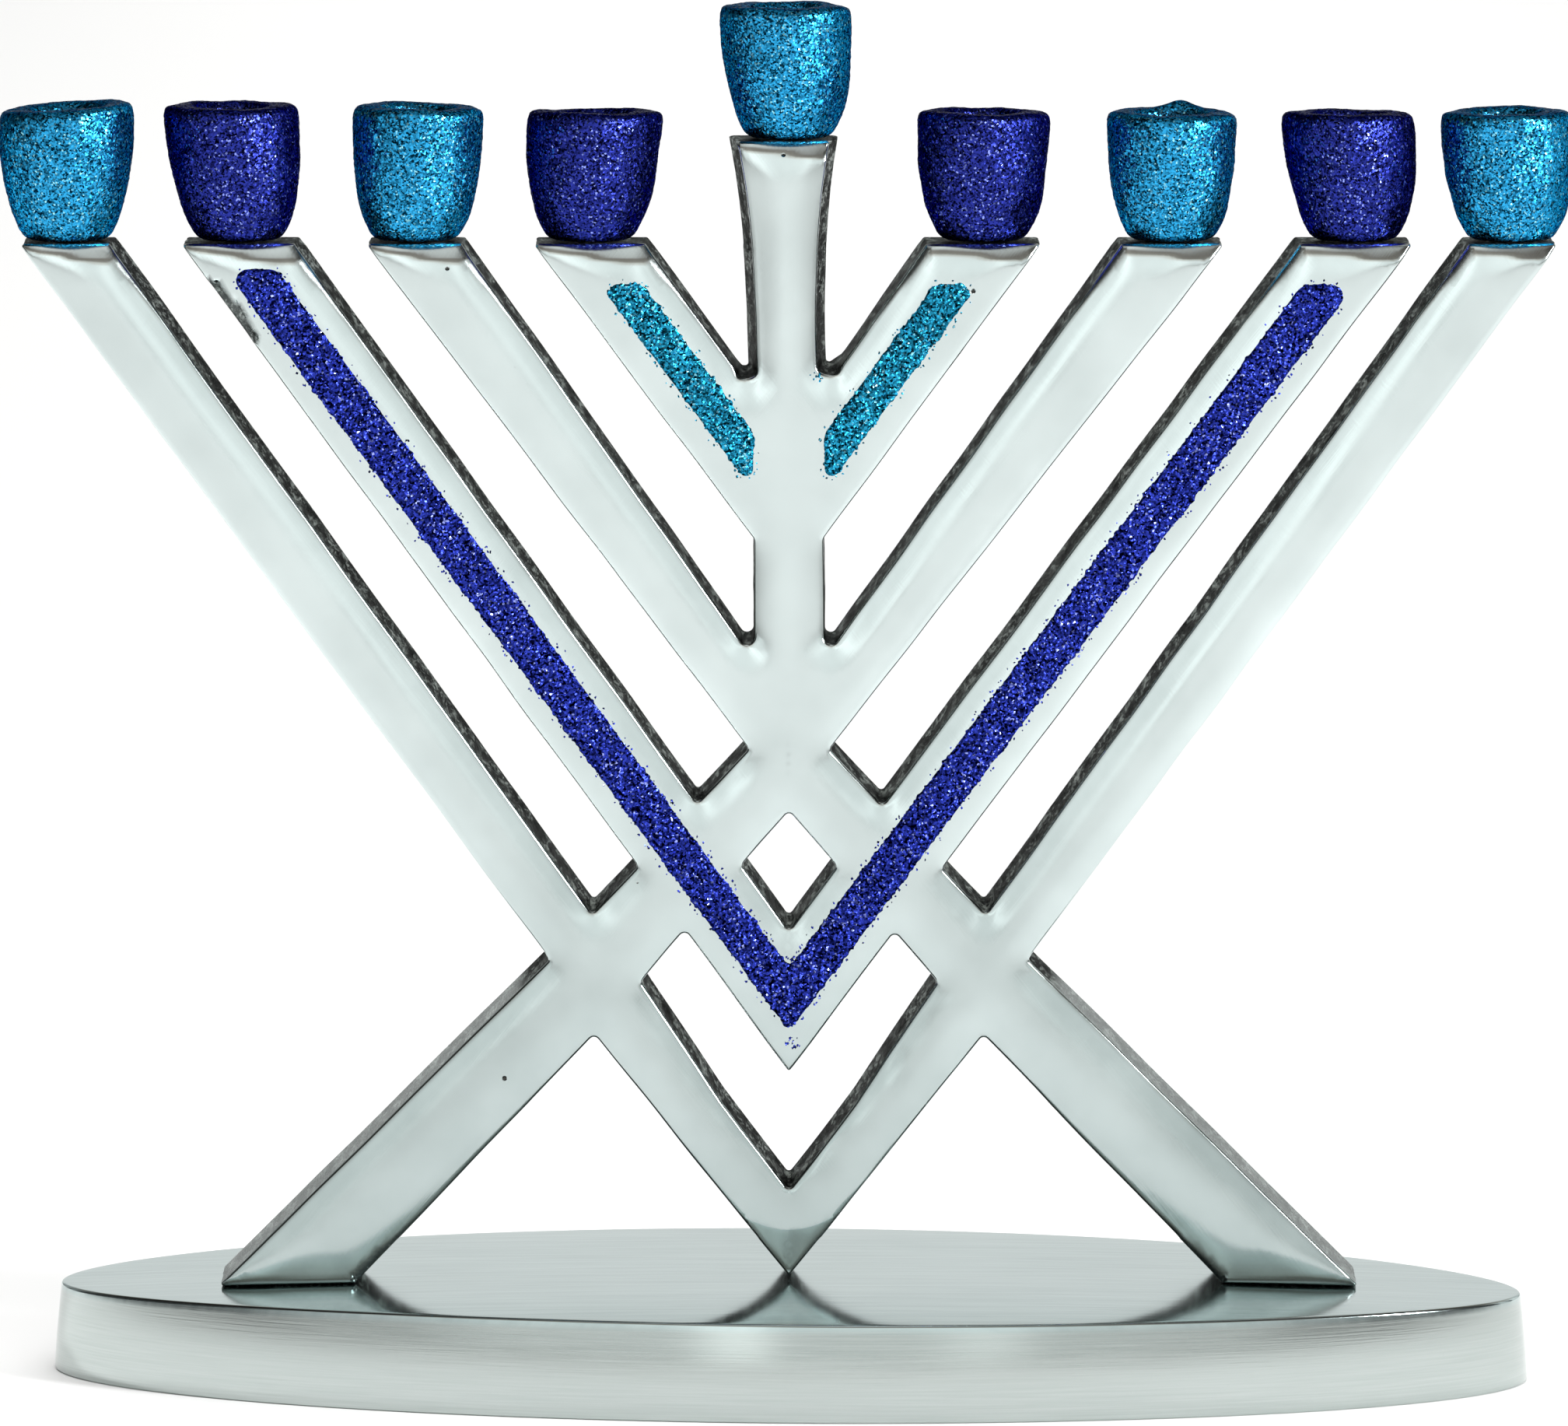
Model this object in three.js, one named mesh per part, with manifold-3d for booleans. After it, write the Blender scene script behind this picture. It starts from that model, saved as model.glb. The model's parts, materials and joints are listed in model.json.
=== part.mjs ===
// A nine-light menorah: a flat cast lattice on an oval base, with nine candle cups.
// Millimetres, +Z up, the front faces -Y. The origin is on the table, under the middle of the base.

import * as THREE from 'three';
import { mergeVertices } from 'three/addons/utils/BufferGeometryUtils.js';
import Module from 'manifold-3d';

const wasm = await Module();
wasm.setup();

// ---------- driving dimensions ----------

const GAP = 0.3;                  // clearance between pieces that touch
const OVERCUT = 1;                // a cut runs past the faces it opens by this much

const FRAME_DEPTH = 18;           // front to back of the cast lattice
const ARM_TOP_Z = 187.6;          // the eight arms end level, at this height

// Each pair of arms is one V. Its edges start at the arm tops, this far left and right of the
// middle, and meet at the tip and at the apex. The casting is handmade, so the sides differ a little.
const VEES = [
  { left: { outer: 125.1, inner: 110.6 }, right: { outer: 125.1, inner: 110.6 }, tipZ: 17.6, apexZ: 31.8 },
  { left: { outer: 98.8, inner: 80.5 }, right: { outer: 101.5, inner: 83.1 }, tipZ: 51.6, apexZ: 74.9 },
  { left: { outer: 68.7, inner: 53.3 }, right: { outer: 70.8, inner: 54.1 }, tipZ: 96.4, apexZ: 111.5 },
  { left: { outer: 41.5, inner: 23.4 }, right: { outer: 41.0, inner: 22.3 }, tipZ: 131.8, apexZ: 155.4 },
];
const NOTCH = [40.0, 71.3];       // where the first V's outer edge meets the top of a leg
const LEG_APEX = [31.9, 57.8];    // where its outer edge leaves the leg again
const SLOT_CORNER = [24.4, 66.6]; // the first V's inner edge, at the slot under the second V
const LIMB_BOW = [11.0, 46.5];    // the same edge bows a little on the way to the middle

const LEG_TOP_Z = 111.9;          // the legs meet at this height, upper edges
const LEG_UNDER_Z = 94.8;         // the same, lower edges
const LEG_BEND = [40.0, 69.4];    // the upper edge bends slightly where the arm crosses
const FOOT_OUTER = 97.2;          // the legs run on to the foot plane
const FOOT_INNER = 75.0;
const FOOT_Z = 12.5;

const COLUMN_TOP_Z = 204.3;
const COLUMN_BOTTOM_Z = 104;
const COLUMN_HALF = 5.65;
const COLUMN_FLARE_Z = 176;       // above this the column flares to its top
const COLUMN_TOP_HALF = 8.2;
const COLUMN_CURVE = { outward: 0.2, below: 12 };   // the flare's control point, from the top

const GROOVE_DEPTH = 2.0;
const FILL_PROUD = 0.3;           // the glitter filling stands a little proud of the face
const ROYAL_TOP_Z = 182.8;
const ROYAL = {
  left: { outer: 91.1, inner: 82.6 }, right: { outer: 93.4, inner: 84.7 }, tipZ: 58.4, apexZ: 68.8,
};
const TEAL = { topZ: 180.4, outer: 30.2, inner: 23.2, slope: 0.74, endX: 5.8 };

const BASE_HALF_LENGTH = 121.8;   // at the table
const BASE_HALF_DEPTH = 45.6;
const BASE_POWER = 1.9;           // a superellipse, a little more pointed than an ellipse
const BASE_TURN = THREE.MathUtils.degToRad(-3);   // the base sits slightly turned under the frame
const BASE_DRAFT = 1.2;           // the rim leans in by this much from bottom to top
const BASE_CENTRE_Z = 17.0;       // the top is domed
const BASE_FALL_X = 2.4;
const BASE_FALL_Y = 1.2;
const BASE_BEVEL = 1.0;
const BASE_WALL = 5.5;
const BASE_WALL_TAPER = 1.0;      // the wall is this much thicker at the ceiling
const BASE_CEILING_Z = 10.5;      // the underside is hollow up to here
const BASE_SEGMENTS = 64;
const DOME_RINGS = 4;

const BOSS_X = 81;                // the screws into the feet
const BOSS_RADIUS = 8;
const BOSS_BOTTOM_Z = 6.2;
const BOSS_SEGMENTS = 24;

const CUP_HEIGHT = 21.4;
const CUP_FLOOR = 6.4;
const CUP_SEGMENTS = 20;
// The outside of a cup from foot to rim, as radius and height: a rounded belly, then nearly upright.
const CUP_OUTSIDE = [
  [6.0, 0], [7.3, 1.2], [8.9, 4.2], [9.9, 7.8], [10.6, 11.5], [10.85, 15.0], [10.8, 19.2], [10.3, 20.9],
];
const CUP_RIM_RADIUS = 9.4;       // the rim is flat inside this
const SOCKET_RADIUS = 5.7;        // for candles of about 10 mm
const SOCKET_FOOT_RADIUS = 5.4;
const SOCKET_CHAMFER = 0.6;

const CUP_SCREW = { head: 3.4, headHeight: 2.2, shank: 2.0, length: 12.0, cross: 3.6 };
const BASE_SCREW = { head: 4.6, headHeight: 2.8, shank: 2.5, length: 17.5, cross: 4.6 };
const POINT = 0.3;                // a screw's end is chamfered by this share of its shank radius
const HEAD_SIDE = 0.55;           // the upright side of a pan head, as a share of its height
const HEAD_CROWN = { radius: 0.7, height: 0.92 };
const CROSS_WIDTH = 0.9;
const CROSS_DEPTH = 1.0;
const WASHER = { outer: 6.0, inner: 2.8, thickness: 1.0 };
const SCREW_SEGMENTS = 16;

const MERGE_TOLERANCE = 1e-5;

// ---------- materials ----------

const polished = () => new THREE.MeshStandardMaterial({ color: 0xcdd8d8, roughness: 0.2, metalness: 1 });
const brushed = () => new THREE.MeshStandardMaterial({ color: 0xbfcaca, roughness: 0.3, metalness: 1 });
const steel = () => new THREE.MeshStandardMaterial({ color: 0xa8a8a8, roughness: 0.35, metalness: 1 });
const teal = () => new THREE.MeshStandardMaterial({ color: 0x2f8fc0, roughness: 0.45, metalness: 0.6 });
const royal = () => new THREE.MeshStandardMaterial({ color: 0x2a30a8, roughness: 0.45, metalness: 0.6 });

// ---------- helpers ----------

function solid(geometry) {
  geometry.deleteAttribute('normal');
  geometry.deleteAttribute('uv');
  const merged = mergeVertices(geometry, MERGE_TOLERANCE);
  return new wasm.Manifold(new wasm.Mesh({
    numProp: 3,
    vertProperties: new Float32Array(merged.attributes.position.array),
    triVerts: new Uint32Array(merged.index.array),
  }));
}

function geometryOf(manifold) {
  const mesh = manifold.getMesh();
  const geometry = new THREE.BufferGeometry();
  geometry.setAttribute('position', new THREE.BufferAttribute(new Float32Array(mesh.vertProperties), 3));
  geometry.setIndex(new THREE.BufferAttribute(new Uint32Array(mesh.triVerts), 1));
  geometry.computeVertexNormals();
  return geometry;
}

function joined(manifolds) {
  return manifolds.reduce((all, next) => all.add(next));
}

// A flat outline in X and Z, as a plate from the front plane back to the rear plane.
function plate(shape, frontY, backY) {
  const geometry = new THREE.ExtrudeGeometry(shape, { depth: backY - frontY, bevelEnabled: false });
  geometry.rotateX(Math.PI / 2);
  geometry.translate(0, backY, 0);
  return solid(geometry);
}

function shapeOf(points) {
  return new THREE.Shape(points.map(([x, z]) => new THREE.Vector2(x, z)));
}

// The right half's points, mirrored to close the outline on the left.
function mirroredOutline(rightPoints) {
  const leftPoints = rightPoints.filter(([x]) => x > 0).map(([x, z]) => [-x, z]).reverse();
  return shapeOf([...rightPoints, ...leftPoints]);
}

function uprightCylinder(radius, lowZ, highZ, x, y, segments) {
  const geometry = new THREE.CylinderGeometry(radius, radius, highZ - lowZ, segments);
  geometry.rotateX(Math.PI / 2);
  geometry.translate(x, y, (lowZ + highZ) / 2);
  return solid(geometry);
}

// A lathe about Z, from a profile of radius and height.
function turned(profile, segments) {
  const geometry = new THREE.LatheGeometry(profile.map(([r, z]) => new THREE.Vector2(r, z)), segments);
  geometry.rotateX(Math.PI / 2);
  return solid(geometry);
}

// ---------- base ----------

function basePoint(angle, inset) {
  const c = Math.cos(angle);
  const s = Math.sin(angle);
  const x = (BASE_HALF_LENGTH - inset) * Math.sign(c) * Math.abs(c) ** (2 / BASE_POWER);
  const y = (BASE_HALF_DEPTH - inset) * Math.sign(s) * Math.abs(s) ** (2 / BASE_POWER);
  const turnC = Math.cos(BASE_TURN);
  const turnS = Math.sin(BASE_TURN);
  return [x * turnC - y * turnS, x * turnS + y * turnC];
}

function domeZ(x, y) {
  const fall = BASE_FALL_X * (x / BASE_HALF_LENGTH) ** 2 + BASE_FALL_Y * (y / BASE_HALF_DEPTH) ** 2;
  return BASE_CENTRE_Z - fall;
}

// Rings of points joined into one closed skin, with a point at each end.
function ringSolid(rings, firstPoint, lastPoint) {
  const count = rings[0].length;
  const positions = [firstPoint, ...rings.flat(), lastPoint];
  const last = positions.length - 1;
  const index = [];
  const at = (ring, i) => 1 + ring * count + (i % count);
  for (let i = 0; i < count; i += 1) {
    index.push(0, at(0, i + 1), at(0, i));
    index.push(last, at(rings.length - 1, i), at(rings.length - 1, i + 1));
    for (let ring = 0; ring + 1 < rings.length; ring += 1) {
      index.push(at(ring, i), at(ring, i + 1), at(ring + 1, i + 1));
      index.push(at(ring, i), at(ring + 1, i + 1), at(ring + 1, i));
    }
  }
  const geometry = new THREE.BufferGeometry();
  geometry.setAttribute('position', new THREE.BufferAttribute(new Float32Array(positions.flat()), 3));
  geometry.setIndex(index);
  return solid(geometry);
}

function baseRing(inset, heightOf) {
  return Array.from({ length: BASE_SEGMENTS }, (_, i) => {
    const [x, y] = basePoint((i / BASE_SEGMENTS) * 2 * Math.PI, inset);
    return [x, y, heightOf(x, y)];
  });
}

function domeRing(scale) {
  const inset = BASE_DRAFT + BASE_BEVEL;
  return baseRing(inset, () => 0).map(([x, y]) => [x * scale, y * scale, domeZ(x * scale, y * scale)]);
}

function baseBlank(lift) {
  const rings = [baseRing(0, () => 0), baseRing(BASE_DRAFT, (x, y) => domeZ(x, y) - BASE_BEVEL)];
  for (let ring = DOME_RINGS; ring > 0; ring -= 1) {
    rings.push(domeRing(ring / DOME_RINGS));
  }
  const lifted = rings.map((ring) => ring.map(([x, y, z]) => [x, y, z + lift]));
  return ringSolid(lifted, [0, 0, lift], [0, 0, BASE_CENTRE_Z + lift]);
}

function makeBase() {
  const mouth = baseRing(BASE_WALL, () => -OVERCUT);
  const ceiling = baseRing(BASE_WALL + BASE_WALL_TAPER, () => BASE_CEILING_Z);
  const hollow = ringSolid([mouth, ceiling], [0, 0, -OVERCUT], [0, 0, BASE_CEILING_Z]);
  const holeRadius = BASE_SCREW.shank + GAP;
  const holeTop = BASE_CENTRE_Z + OVERCUT;
  let base = baseBlank(0).subtract(hollow);
  for (const x of [-BOSS_X, BOSS_X]) {
    const bossTop = BASE_CEILING_Z + OVERCUT;
    base = base.add(uprightCylinder(BOSS_RADIUS, BOSS_BOTTOM_Z, bossTop, x, 0, BOSS_SEGMENTS));
    base = base.subtract(uprightCylinder(holeRadius, 0, holeTop, x, 0, SCREW_SEGMENTS));
  }
  return geometryOf(base);
}

// ---------- frame ----------

function chevron({ left, right, tipZ, apexZ }, topZ) {
  return shapeOf([
    [0, tipZ], [right.outer, topZ], [right.inner, topZ],
    [0, apexZ], [-left.inner, topZ], [-left.outer, topZ],
  ]);
}

// The first V is the outermost pair of arms, and its lower half bows where it crosses the legs.
function firstVee() {
  const { right, tipZ, apexZ } = VEES[0];
  return mirroredOutline([
    [0, tipZ], LEG_APEX, NOTCH, [right.outer, ARM_TOP_Z], [right.inner, ARM_TOP_Z],
    SLOT_CORNER, LIMB_BOW, [0, apexZ],
  ]);
}

function legs() {
  return mirroredOutline([
    [0, LEG_UNDER_Z], LEG_APEX, [FOOT_INNER, FOOT_Z], [FOOT_OUTER, FOOT_Z], LEG_BEND, [0, LEG_TOP_Z],
  ]);
}

function column() {
  const shape = new THREE.Shape();
  const bendX = COLUMN_HALF + COLUMN_CURVE.outward;
  const bendZ = COLUMN_TOP_Z - COLUMN_CURVE.below;
  shape.moveTo(-COLUMN_HALF, COLUMN_BOTTOM_Z);
  shape.lineTo(COLUMN_HALF, COLUMN_BOTTOM_Z);
  shape.lineTo(COLUMN_HALF, COLUMN_FLARE_Z);
  shape.quadraticCurveTo(bendX, bendZ, COLUMN_TOP_HALF, COLUMN_TOP_Z);
  shape.lineTo(-COLUMN_TOP_HALF, COLUMN_TOP_Z);
  shape.quadraticCurveTo(-bendX, bendZ, -COLUMN_HALF, COLUMN_FLARE_Z);
  shape.closePath();
  return shape;
}

// The outline of a glitter stripe. The groove that holds it is the same outline grown by the gap.
function royalStripe(grow) {
  const slope = ROYAL.right.outer / (ROYAL_TOP_Z - ROYAL.tipZ);
  const sideways = grow * Math.hypot(1, slope);
  const grown = ({ outer, inner }) => ({
    outer: outer + sideways + grow * slope,
    inner: inner - sideways + grow * slope,
  });
  const stripe = {
    left: grown(ROYAL.left),
    right: grown(ROYAL.right),
    tipZ: ROYAL.tipZ - sideways / slope,
    apexZ: ROYAL.apexZ + sideways / slope,
  };
  return chevron(stripe, ROYAL_TOP_Z + grow);
}

function tealStripe(side, grow) {
  const sideways = grow * Math.hypot(1, TEAL.slope);
  const topZ = TEAL.topZ + grow;
  const outer = TEAL.outer + sideways + grow * TEAL.slope;
  const inner = TEAL.inner - sideways + grow * TEAL.slope;
  const endX = TEAL.endX - grow;
  const points = [
    [outer, topZ],
    [inner, topZ],
    [endX, topZ - (inner - endX) / TEAL.slope],
    [endX, topZ - (outer - endX) / TEAL.slope],
  ];
  return shapeOf(points.map(([x, z]) => [side * x, z]));
}

const FRONT_Y = -FRAME_DEPTH / 2;

// Left to right: four arms, the column, four arms.
function cupPlaces() {
  const onArm = (side, { outer, inner }) => ({ x: (side * (outer + inner)) / 2, z: ARM_TOP_Z });
  return [
    ...VEES.map((vee) => onArm(-1, vee.left)),
    { x: 0, z: COLUMN_TOP_Z },
    ...[...VEES].reverse().map((vee) => onArm(1, vee.right)),
  ];
}

function makeFrame() {
  const outlines = [
    firstVee(),
    ...VEES.slice(1).map((vee) => chevron(vee, ARM_TOP_Z)),
    legs(),
    column(),
  ];
  let frame = joined(outlines.map((shape) => plate(shape, FRONT_Y, -FRONT_Y)));
  for (const groove of [royalStripe(GAP), tealStripe(-1, GAP), tealStripe(1, GAP)]) {
    frame = frame.subtract(plate(groove, FRONT_Y - OVERCUT, FRONT_Y + GROOVE_DEPTH + GAP));
  }
  const holeRadius = CUP_SCREW.shank + GAP;
  const holeDepth = CUP_SCREW.length - CUP_FLOOR;
  for (const { x, z } of cupPlaces()) {
    const hole = uprightCylinder(holeRadius, z - holeDepth, z + OVERCUT, x, 0, SCREW_SEGMENTS);
    frame = frame.subtract(hole);
  }
  const footHoleTop = BOSS_BOTTOM_Z - GAP - WASHER.thickness + BASE_SCREW.length;
  for (const x of [-BOSS_X, BOSS_X]) {
    const hole = uprightCylinder(BASE_SCREW.shank + GAP, 0, footHoleTop + GAP, x, 0, SCREW_SEGMENTS);
    frame = frame.subtract(hole);
  }
  return geometryOf(frame.subtract(baseBlank(GAP)));
}

// ---------- glitter fillings ----------

function makeFilling(shape) {
  return geometryOf(plate(shape, FRONT_Y - FILL_PROUD, FRONT_Y + GROOVE_DEPTH));
}

// ---------- cups ----------

function makeCup() {
  const profile = [
    [0, 0], ...CUP_OUTSIDE, [CUP_RIM_RADIUS, CUP_HEIGHT],
    [SOCKET_RADIUS + SOCKET_CHAMFER, CUP_HEIGHT], [SOCKET_RADIUS, CUP_HEIGHT - SOCKET_CHAMFER],
    [SOCKET_FOOT_RADIUS, CUP_FLOOR], [0, CUP_FLOOR],
  ];
  const hole = uprightCylinder(CUP_SCREW.shank + GAP, -OVERCUT, CUP_HEIGHT, 0, 0, SCREW_SEGMENTS);
  return geometryOf(turned(profile, CUP_SEGMENTS).subtract(hole));
}

// ---------- screws and washers ----------

// A pan-head screw with a cross recess. The underside of its head is at zero and it points down.
function makeScrew({ head, headHeight, shank, length, cross }) {
  const chamfer = shank * POINT;
  const profile = [
    [0, -length], [shank - chamfer, -length], [shank, -length + chamfer], [shank, 0],
    [head, 0], [head, headHeight * HEAD_SIDE],
    [head * HEAD_CROWN.radius, headHeight * HEAD_CROWN.height], [0, headHeight],
  ];
  let screw = turned(profile, SCREW_SEGMENTS);
  for (const [sizeX, sizeY] of [[cross, CROSS_WIDTH], [CROSS_WIDTH, cross]]) {
    const slot = new THREE.BoxGeometry(sizeX, sizeY, 2 * CROSS_DEPTH);
    slot.translate(0, 0, headHeight);
    screw = screw.subtract(solid(slot));
  }
  return geometryOf(screw);
}

function makeWasher() {
  const { outer, inner, thickness } = WASHER;
  const profile = [[inner, 0], [outer, 0], [outer, thickness], [inner, thickness], [inner, 0]];
  return geometryOf(turned(profile, SCREW_SEGMENTS));
}

// ---------- assembly ----------

const menorah = new THREE.Group();

function place(name, geometry, material, position = [0, 0, 0]) {
  const mesh = new THREE.Mesh(geometry, material);
  mesh.name = name;
  mesh.position.set(...position);
  menorah.add(mesh);
  return mesh;
}

place('base', makeBase(), brushed());
place('frame', makeFrame(), polished());
place('royal_filling', makeFilling(royalStripe(0)), royal());
place('teal_filling_left', makeFilling(tealStripe(-1, 0)), teal());
place('teal_filling_right', makeFilling(tealStripe(1, 0)), teal());

cupPlaces().forEach(({ x, z }, i) => {
  const shamash = x === 0;
  const tag = shamash ? 'shamash' : `${i < 4 ? i + 1 : i}`;
  const colour = shamash || [0, 2, 6, 8].includes(i) ? teal() : royal();
  const bottomZ = z + GAP;
  place(`cup_${tag}`, makeCup(), colour, [x, 0, bottomZ]);
  place(`cup_screw_${tag}`, makeScrew(CUP_SCREW), steel(), [x, 0, bottomZ + CUP_FLOOR + GAP]);
});

for (const [side, x] of [['left', -BOSS_X], ['right', BOSS_X]]) {
  const washerTop = BOSS_BOTTOM_Z - GAP;
  place(`base_washer_${side}`, makeWasher(), steel(), [x, 0, washerTop - WASHER.thickness]);
  const screw = place(`base_screw_${side}`, makeScrew(BASE_SCREW), steel());
  screw.rotation.x = Math.PI;
  screw.position.set(x, 0, washerTop - WASHER.thickness - GAP);
}

export default menorah;
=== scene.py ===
import json
import math
from collections import namedtuple

import bmesh
import bpy
import numpy as np
from mathutils import Euler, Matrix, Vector, noise
from mathutils.geometry import delaunay_2d_cdt
from mathutils.kdtree import KDTree


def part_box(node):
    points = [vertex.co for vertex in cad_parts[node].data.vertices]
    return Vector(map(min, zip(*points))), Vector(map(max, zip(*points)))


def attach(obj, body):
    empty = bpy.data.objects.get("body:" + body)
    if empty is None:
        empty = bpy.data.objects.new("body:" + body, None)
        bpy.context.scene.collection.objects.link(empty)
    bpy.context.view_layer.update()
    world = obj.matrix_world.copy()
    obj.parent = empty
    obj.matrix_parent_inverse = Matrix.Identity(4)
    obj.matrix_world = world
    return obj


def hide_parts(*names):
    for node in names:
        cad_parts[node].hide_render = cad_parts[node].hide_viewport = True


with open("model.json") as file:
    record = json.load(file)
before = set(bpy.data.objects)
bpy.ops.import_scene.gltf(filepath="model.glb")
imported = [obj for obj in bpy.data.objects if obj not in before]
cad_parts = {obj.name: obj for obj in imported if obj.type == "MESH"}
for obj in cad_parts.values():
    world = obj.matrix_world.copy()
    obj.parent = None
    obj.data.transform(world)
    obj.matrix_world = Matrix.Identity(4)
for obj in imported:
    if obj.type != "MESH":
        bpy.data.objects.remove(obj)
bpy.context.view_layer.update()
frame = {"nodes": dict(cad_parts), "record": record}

# A nine-light cast aluminium menorah. Shapes are worked out in millimetres and built in metres.
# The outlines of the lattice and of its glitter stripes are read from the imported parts.

MM = 0.001

# ---------- camera ----------

CAMERA_PLACE = (-0.8, -1850.0, 339.7)
CAMERA_AIM = (-0.8, 0.0, 109.9)
CAMERA_LENS = 260.8
CAMERA_SENSOR = 36.0

# ---------- lattice ----------

FRONT_Y = -9.0
BACK_Y = 9.0
SPACING = 0.92           # of the mesh over the faces
OUTLINE_WAVES = ((0.16, 14, 5),)       # see waves_at
OUTLINE_FREE_Z = 24      # the outlines wander above this height, and this far below the tops
OUTLINE_FREE_BELOW = 18
CROWN = 0.85             # the front faces are pillowed: their edges lie this much behind their middles
CROWN_REACH = 6.6        # the pillow rises over this distance from an edge
CROWN_POWER = 2.1
TIP_CROWN = 0.3          # share of the pillow that is left at the lowest V's tip
TIP_CROWN_Z = (28, 58)   # it grows to the whole over these heights, and over these distances
TIP_CROWN_X = (30, 42)   # from the middle
PILLOW_GRID = 0.45       # spacing of the even grid that the pillow is worked out on
PILLOW_BLUR = 1.8
BACK_CROWN = 0.45
EDGE_RADIUS = 0.36
FACE_ROWS = (0.1, EDGE_RADIUS, 1.0)    # rows of points follow the edges, this far inside them
BACK_EDGE_RADIUS = 0.6
# The faces slope back at the arm tops, over a band that is wider on the right, and at the feet.
TOP_BAND = (1.1, 2.8)
TOP_BAND_X = (-7, 7)     # it grows between these distances from the arm's middle
TOP_SLOPE = 0.6
TOP_SOFT = 0.35          # how softly the face turns into this band
FOOT_BAND = 1.4
FOOT_SLOPE = 0.6
CONCAVE_FILLET = 0.85
COLUMN_FILLET = 1.25     # in the throats beside the column
CONVEX_FILLET = 0.35
COLUMN_REACH = 10.0      # the column lies nearer to the middle than this
COLUMN_FOOT_Z = 110.0
COLUMN_PART_Z = (150, 165)    # the column's upper part begins between these heights
COLUMN_HALF_WIDTH = 7.4
COLUMN_SOFT = 1.8        # how far beside the column this part fades out
COLUMN_FLARE_Z = (172, 190)   # it flares out from its half width to its reach between these
DRAFT = 0.22             # the rear outline is wider than the front one by this much on each side
COLUMN_DRAFT = 0.55      # and by this much more behind the column's upper part
COLUMN_INSET = 0.75      # whose front is narrower by this much on each side
SOFT_BAND = 2.3          # the inner edges slope back too, over a band this wide at the ends,
SOFT_REACH = 15.0        # which tapers off over this distance from there
SOFT_SLOPE = 0.55
SOFT_CAST = 0.3          # these bands are duller, as the polishing hardly reached them
EDGE_INFLUENCE = 2.5     # how far in from the edge the faces follow when it moves
WALL_SHARES = (0.03, 0.12, 0.315, 0.51, 0.705, 0.9, 0.97)   # rows of points across the walls
WALL_WAVES = ((0.12, 1.3, 9), (0.2, 4.5, 4))                # see waves_at
GROOVE_DEPTH = 1.4
FOOT_Z = 16.0
FOOT_INNER_X = 50.0      # the feet lie further from the middle than this
CUP_GAP = 0.3            # between the arm tops and the cups
LEG_TOP_Z = 66.0
LEG_INNER_X = 38.0
LEG_SIDE_ROUGH_AND_SHADE = 0.5      # how rough the legs' outer sides are: 0 is a polished face, 1 a rough wall; the darker colour that comes with it is partly painted shade
BACK_CAST = 0.35         # the same for the back
RIPPLE = 0.13            # long shallow waves that the polishing left
RIPPLE_SIZE = (6.5, 75)  # across and along the bars
COLUMN_RIPPLE_SIZE = (5.5, 45)
# The waves follow the legs below these heights, and the column nearer than this and above these.
LEG_BLEND_Z = (58, 78)
COLUMN_BLEND_X = (8, 13)
COLUMN_BLEND_Z = (112, 126)
# The bars' directions from the middle outwards, as (sideways, up).
ARM_DIRECTION = (0.61, 0.79)
LEG_DIRECTION = (0.69, -0.72)
# Rough facets along an edge that the polishing missed: both ends as (x, z), width and depth.
DENTS = (
    {"from": (-94.0, 181.6), "to": (-87.0, 172.3), "width": 1.8, "depth": 0.95},
)
DENT_CAST = 0.85         # how rough they are
NORMAL_STEP = 0.15       # the faces' normals are measured over this distance
# The lowest V's tip is ground back below an arc, a little duller and a touch darker down to where that
# fades out: the dullness is real, the darkening is painted reflection.
TIP_FACET = {"z": 25.5, "curve": 0.038, "reach": 14, "slope": 0.115, "soft": 0.12,
             "cast": 0.02, "fade": (2, 7)}
COLUMN_LEAN = ((139.0, 0.4), (171.0, -0.4), (184.0, -0.6), (204.3, -0.9))

# ---------- glitter fillings ----------

# How far each stripe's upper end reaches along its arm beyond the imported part: left, right.
STRIPE_ENDS = {
    "royal_filling": (1.1, -2.1),
    "teal_filling_left": (1.1, 1.1),
    "teal_filling_right": (1.1, 1.1),
}
STRIPE_END_REACH = 7     # the move begins this far below a stripe's top, and is full at 3 mm
STRIPE_FILLET = 1.2
STRIPE_END_FILLET = 2.6
STRIPE_ENDS_Z = 150.0    # the stripes' upper ends lie above this
FILL_SPACING = 0.32
FILL_PROUD = 0.30
FILL_RAGGED = 0.6        # how far the edges wander over the metal
FILL_EDGE_WAVES = ((0.5, 0.9, 0), (0.5, 3.5, 1))
FILL_LUMPS = ((0.16, 0.7, 0), (0.112, 2.4, 4))
FILL_DEPTH = 1.9
FILL_EDGE = (0.05, 0.45)    # the glitter rises between these distances from its edges
FILL_GRAIN = 0.10        # how far single flakes stand out
FLAKE_SIZE = 0.24
FLAKE_THICKNESS = 0.05
SPILL_PER_MM = 0.55      # spilled flakes for each millimetre of a stripe's edge
SPILL_REACH = 0.12
SPILL_JITTER = 0.1
# Clumps of loose flakes, as (x, z, spread, count): at the royal stripe's inner corner, trailing from
# its tip and beside its right arm, and beside the right teal stripe.
ROYAL_SPILLS = ((-0.6, 69.0, 0.75, 60), (0.3, 57.0, 0.5, 12), (0.9, 55.8, 0.35, 8), (17.0, 84.0, 1.6, 14))
TEAL_SPILLS = ((4.6, 166.2, 0.4, 14),)

# ---------- base ----------

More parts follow.
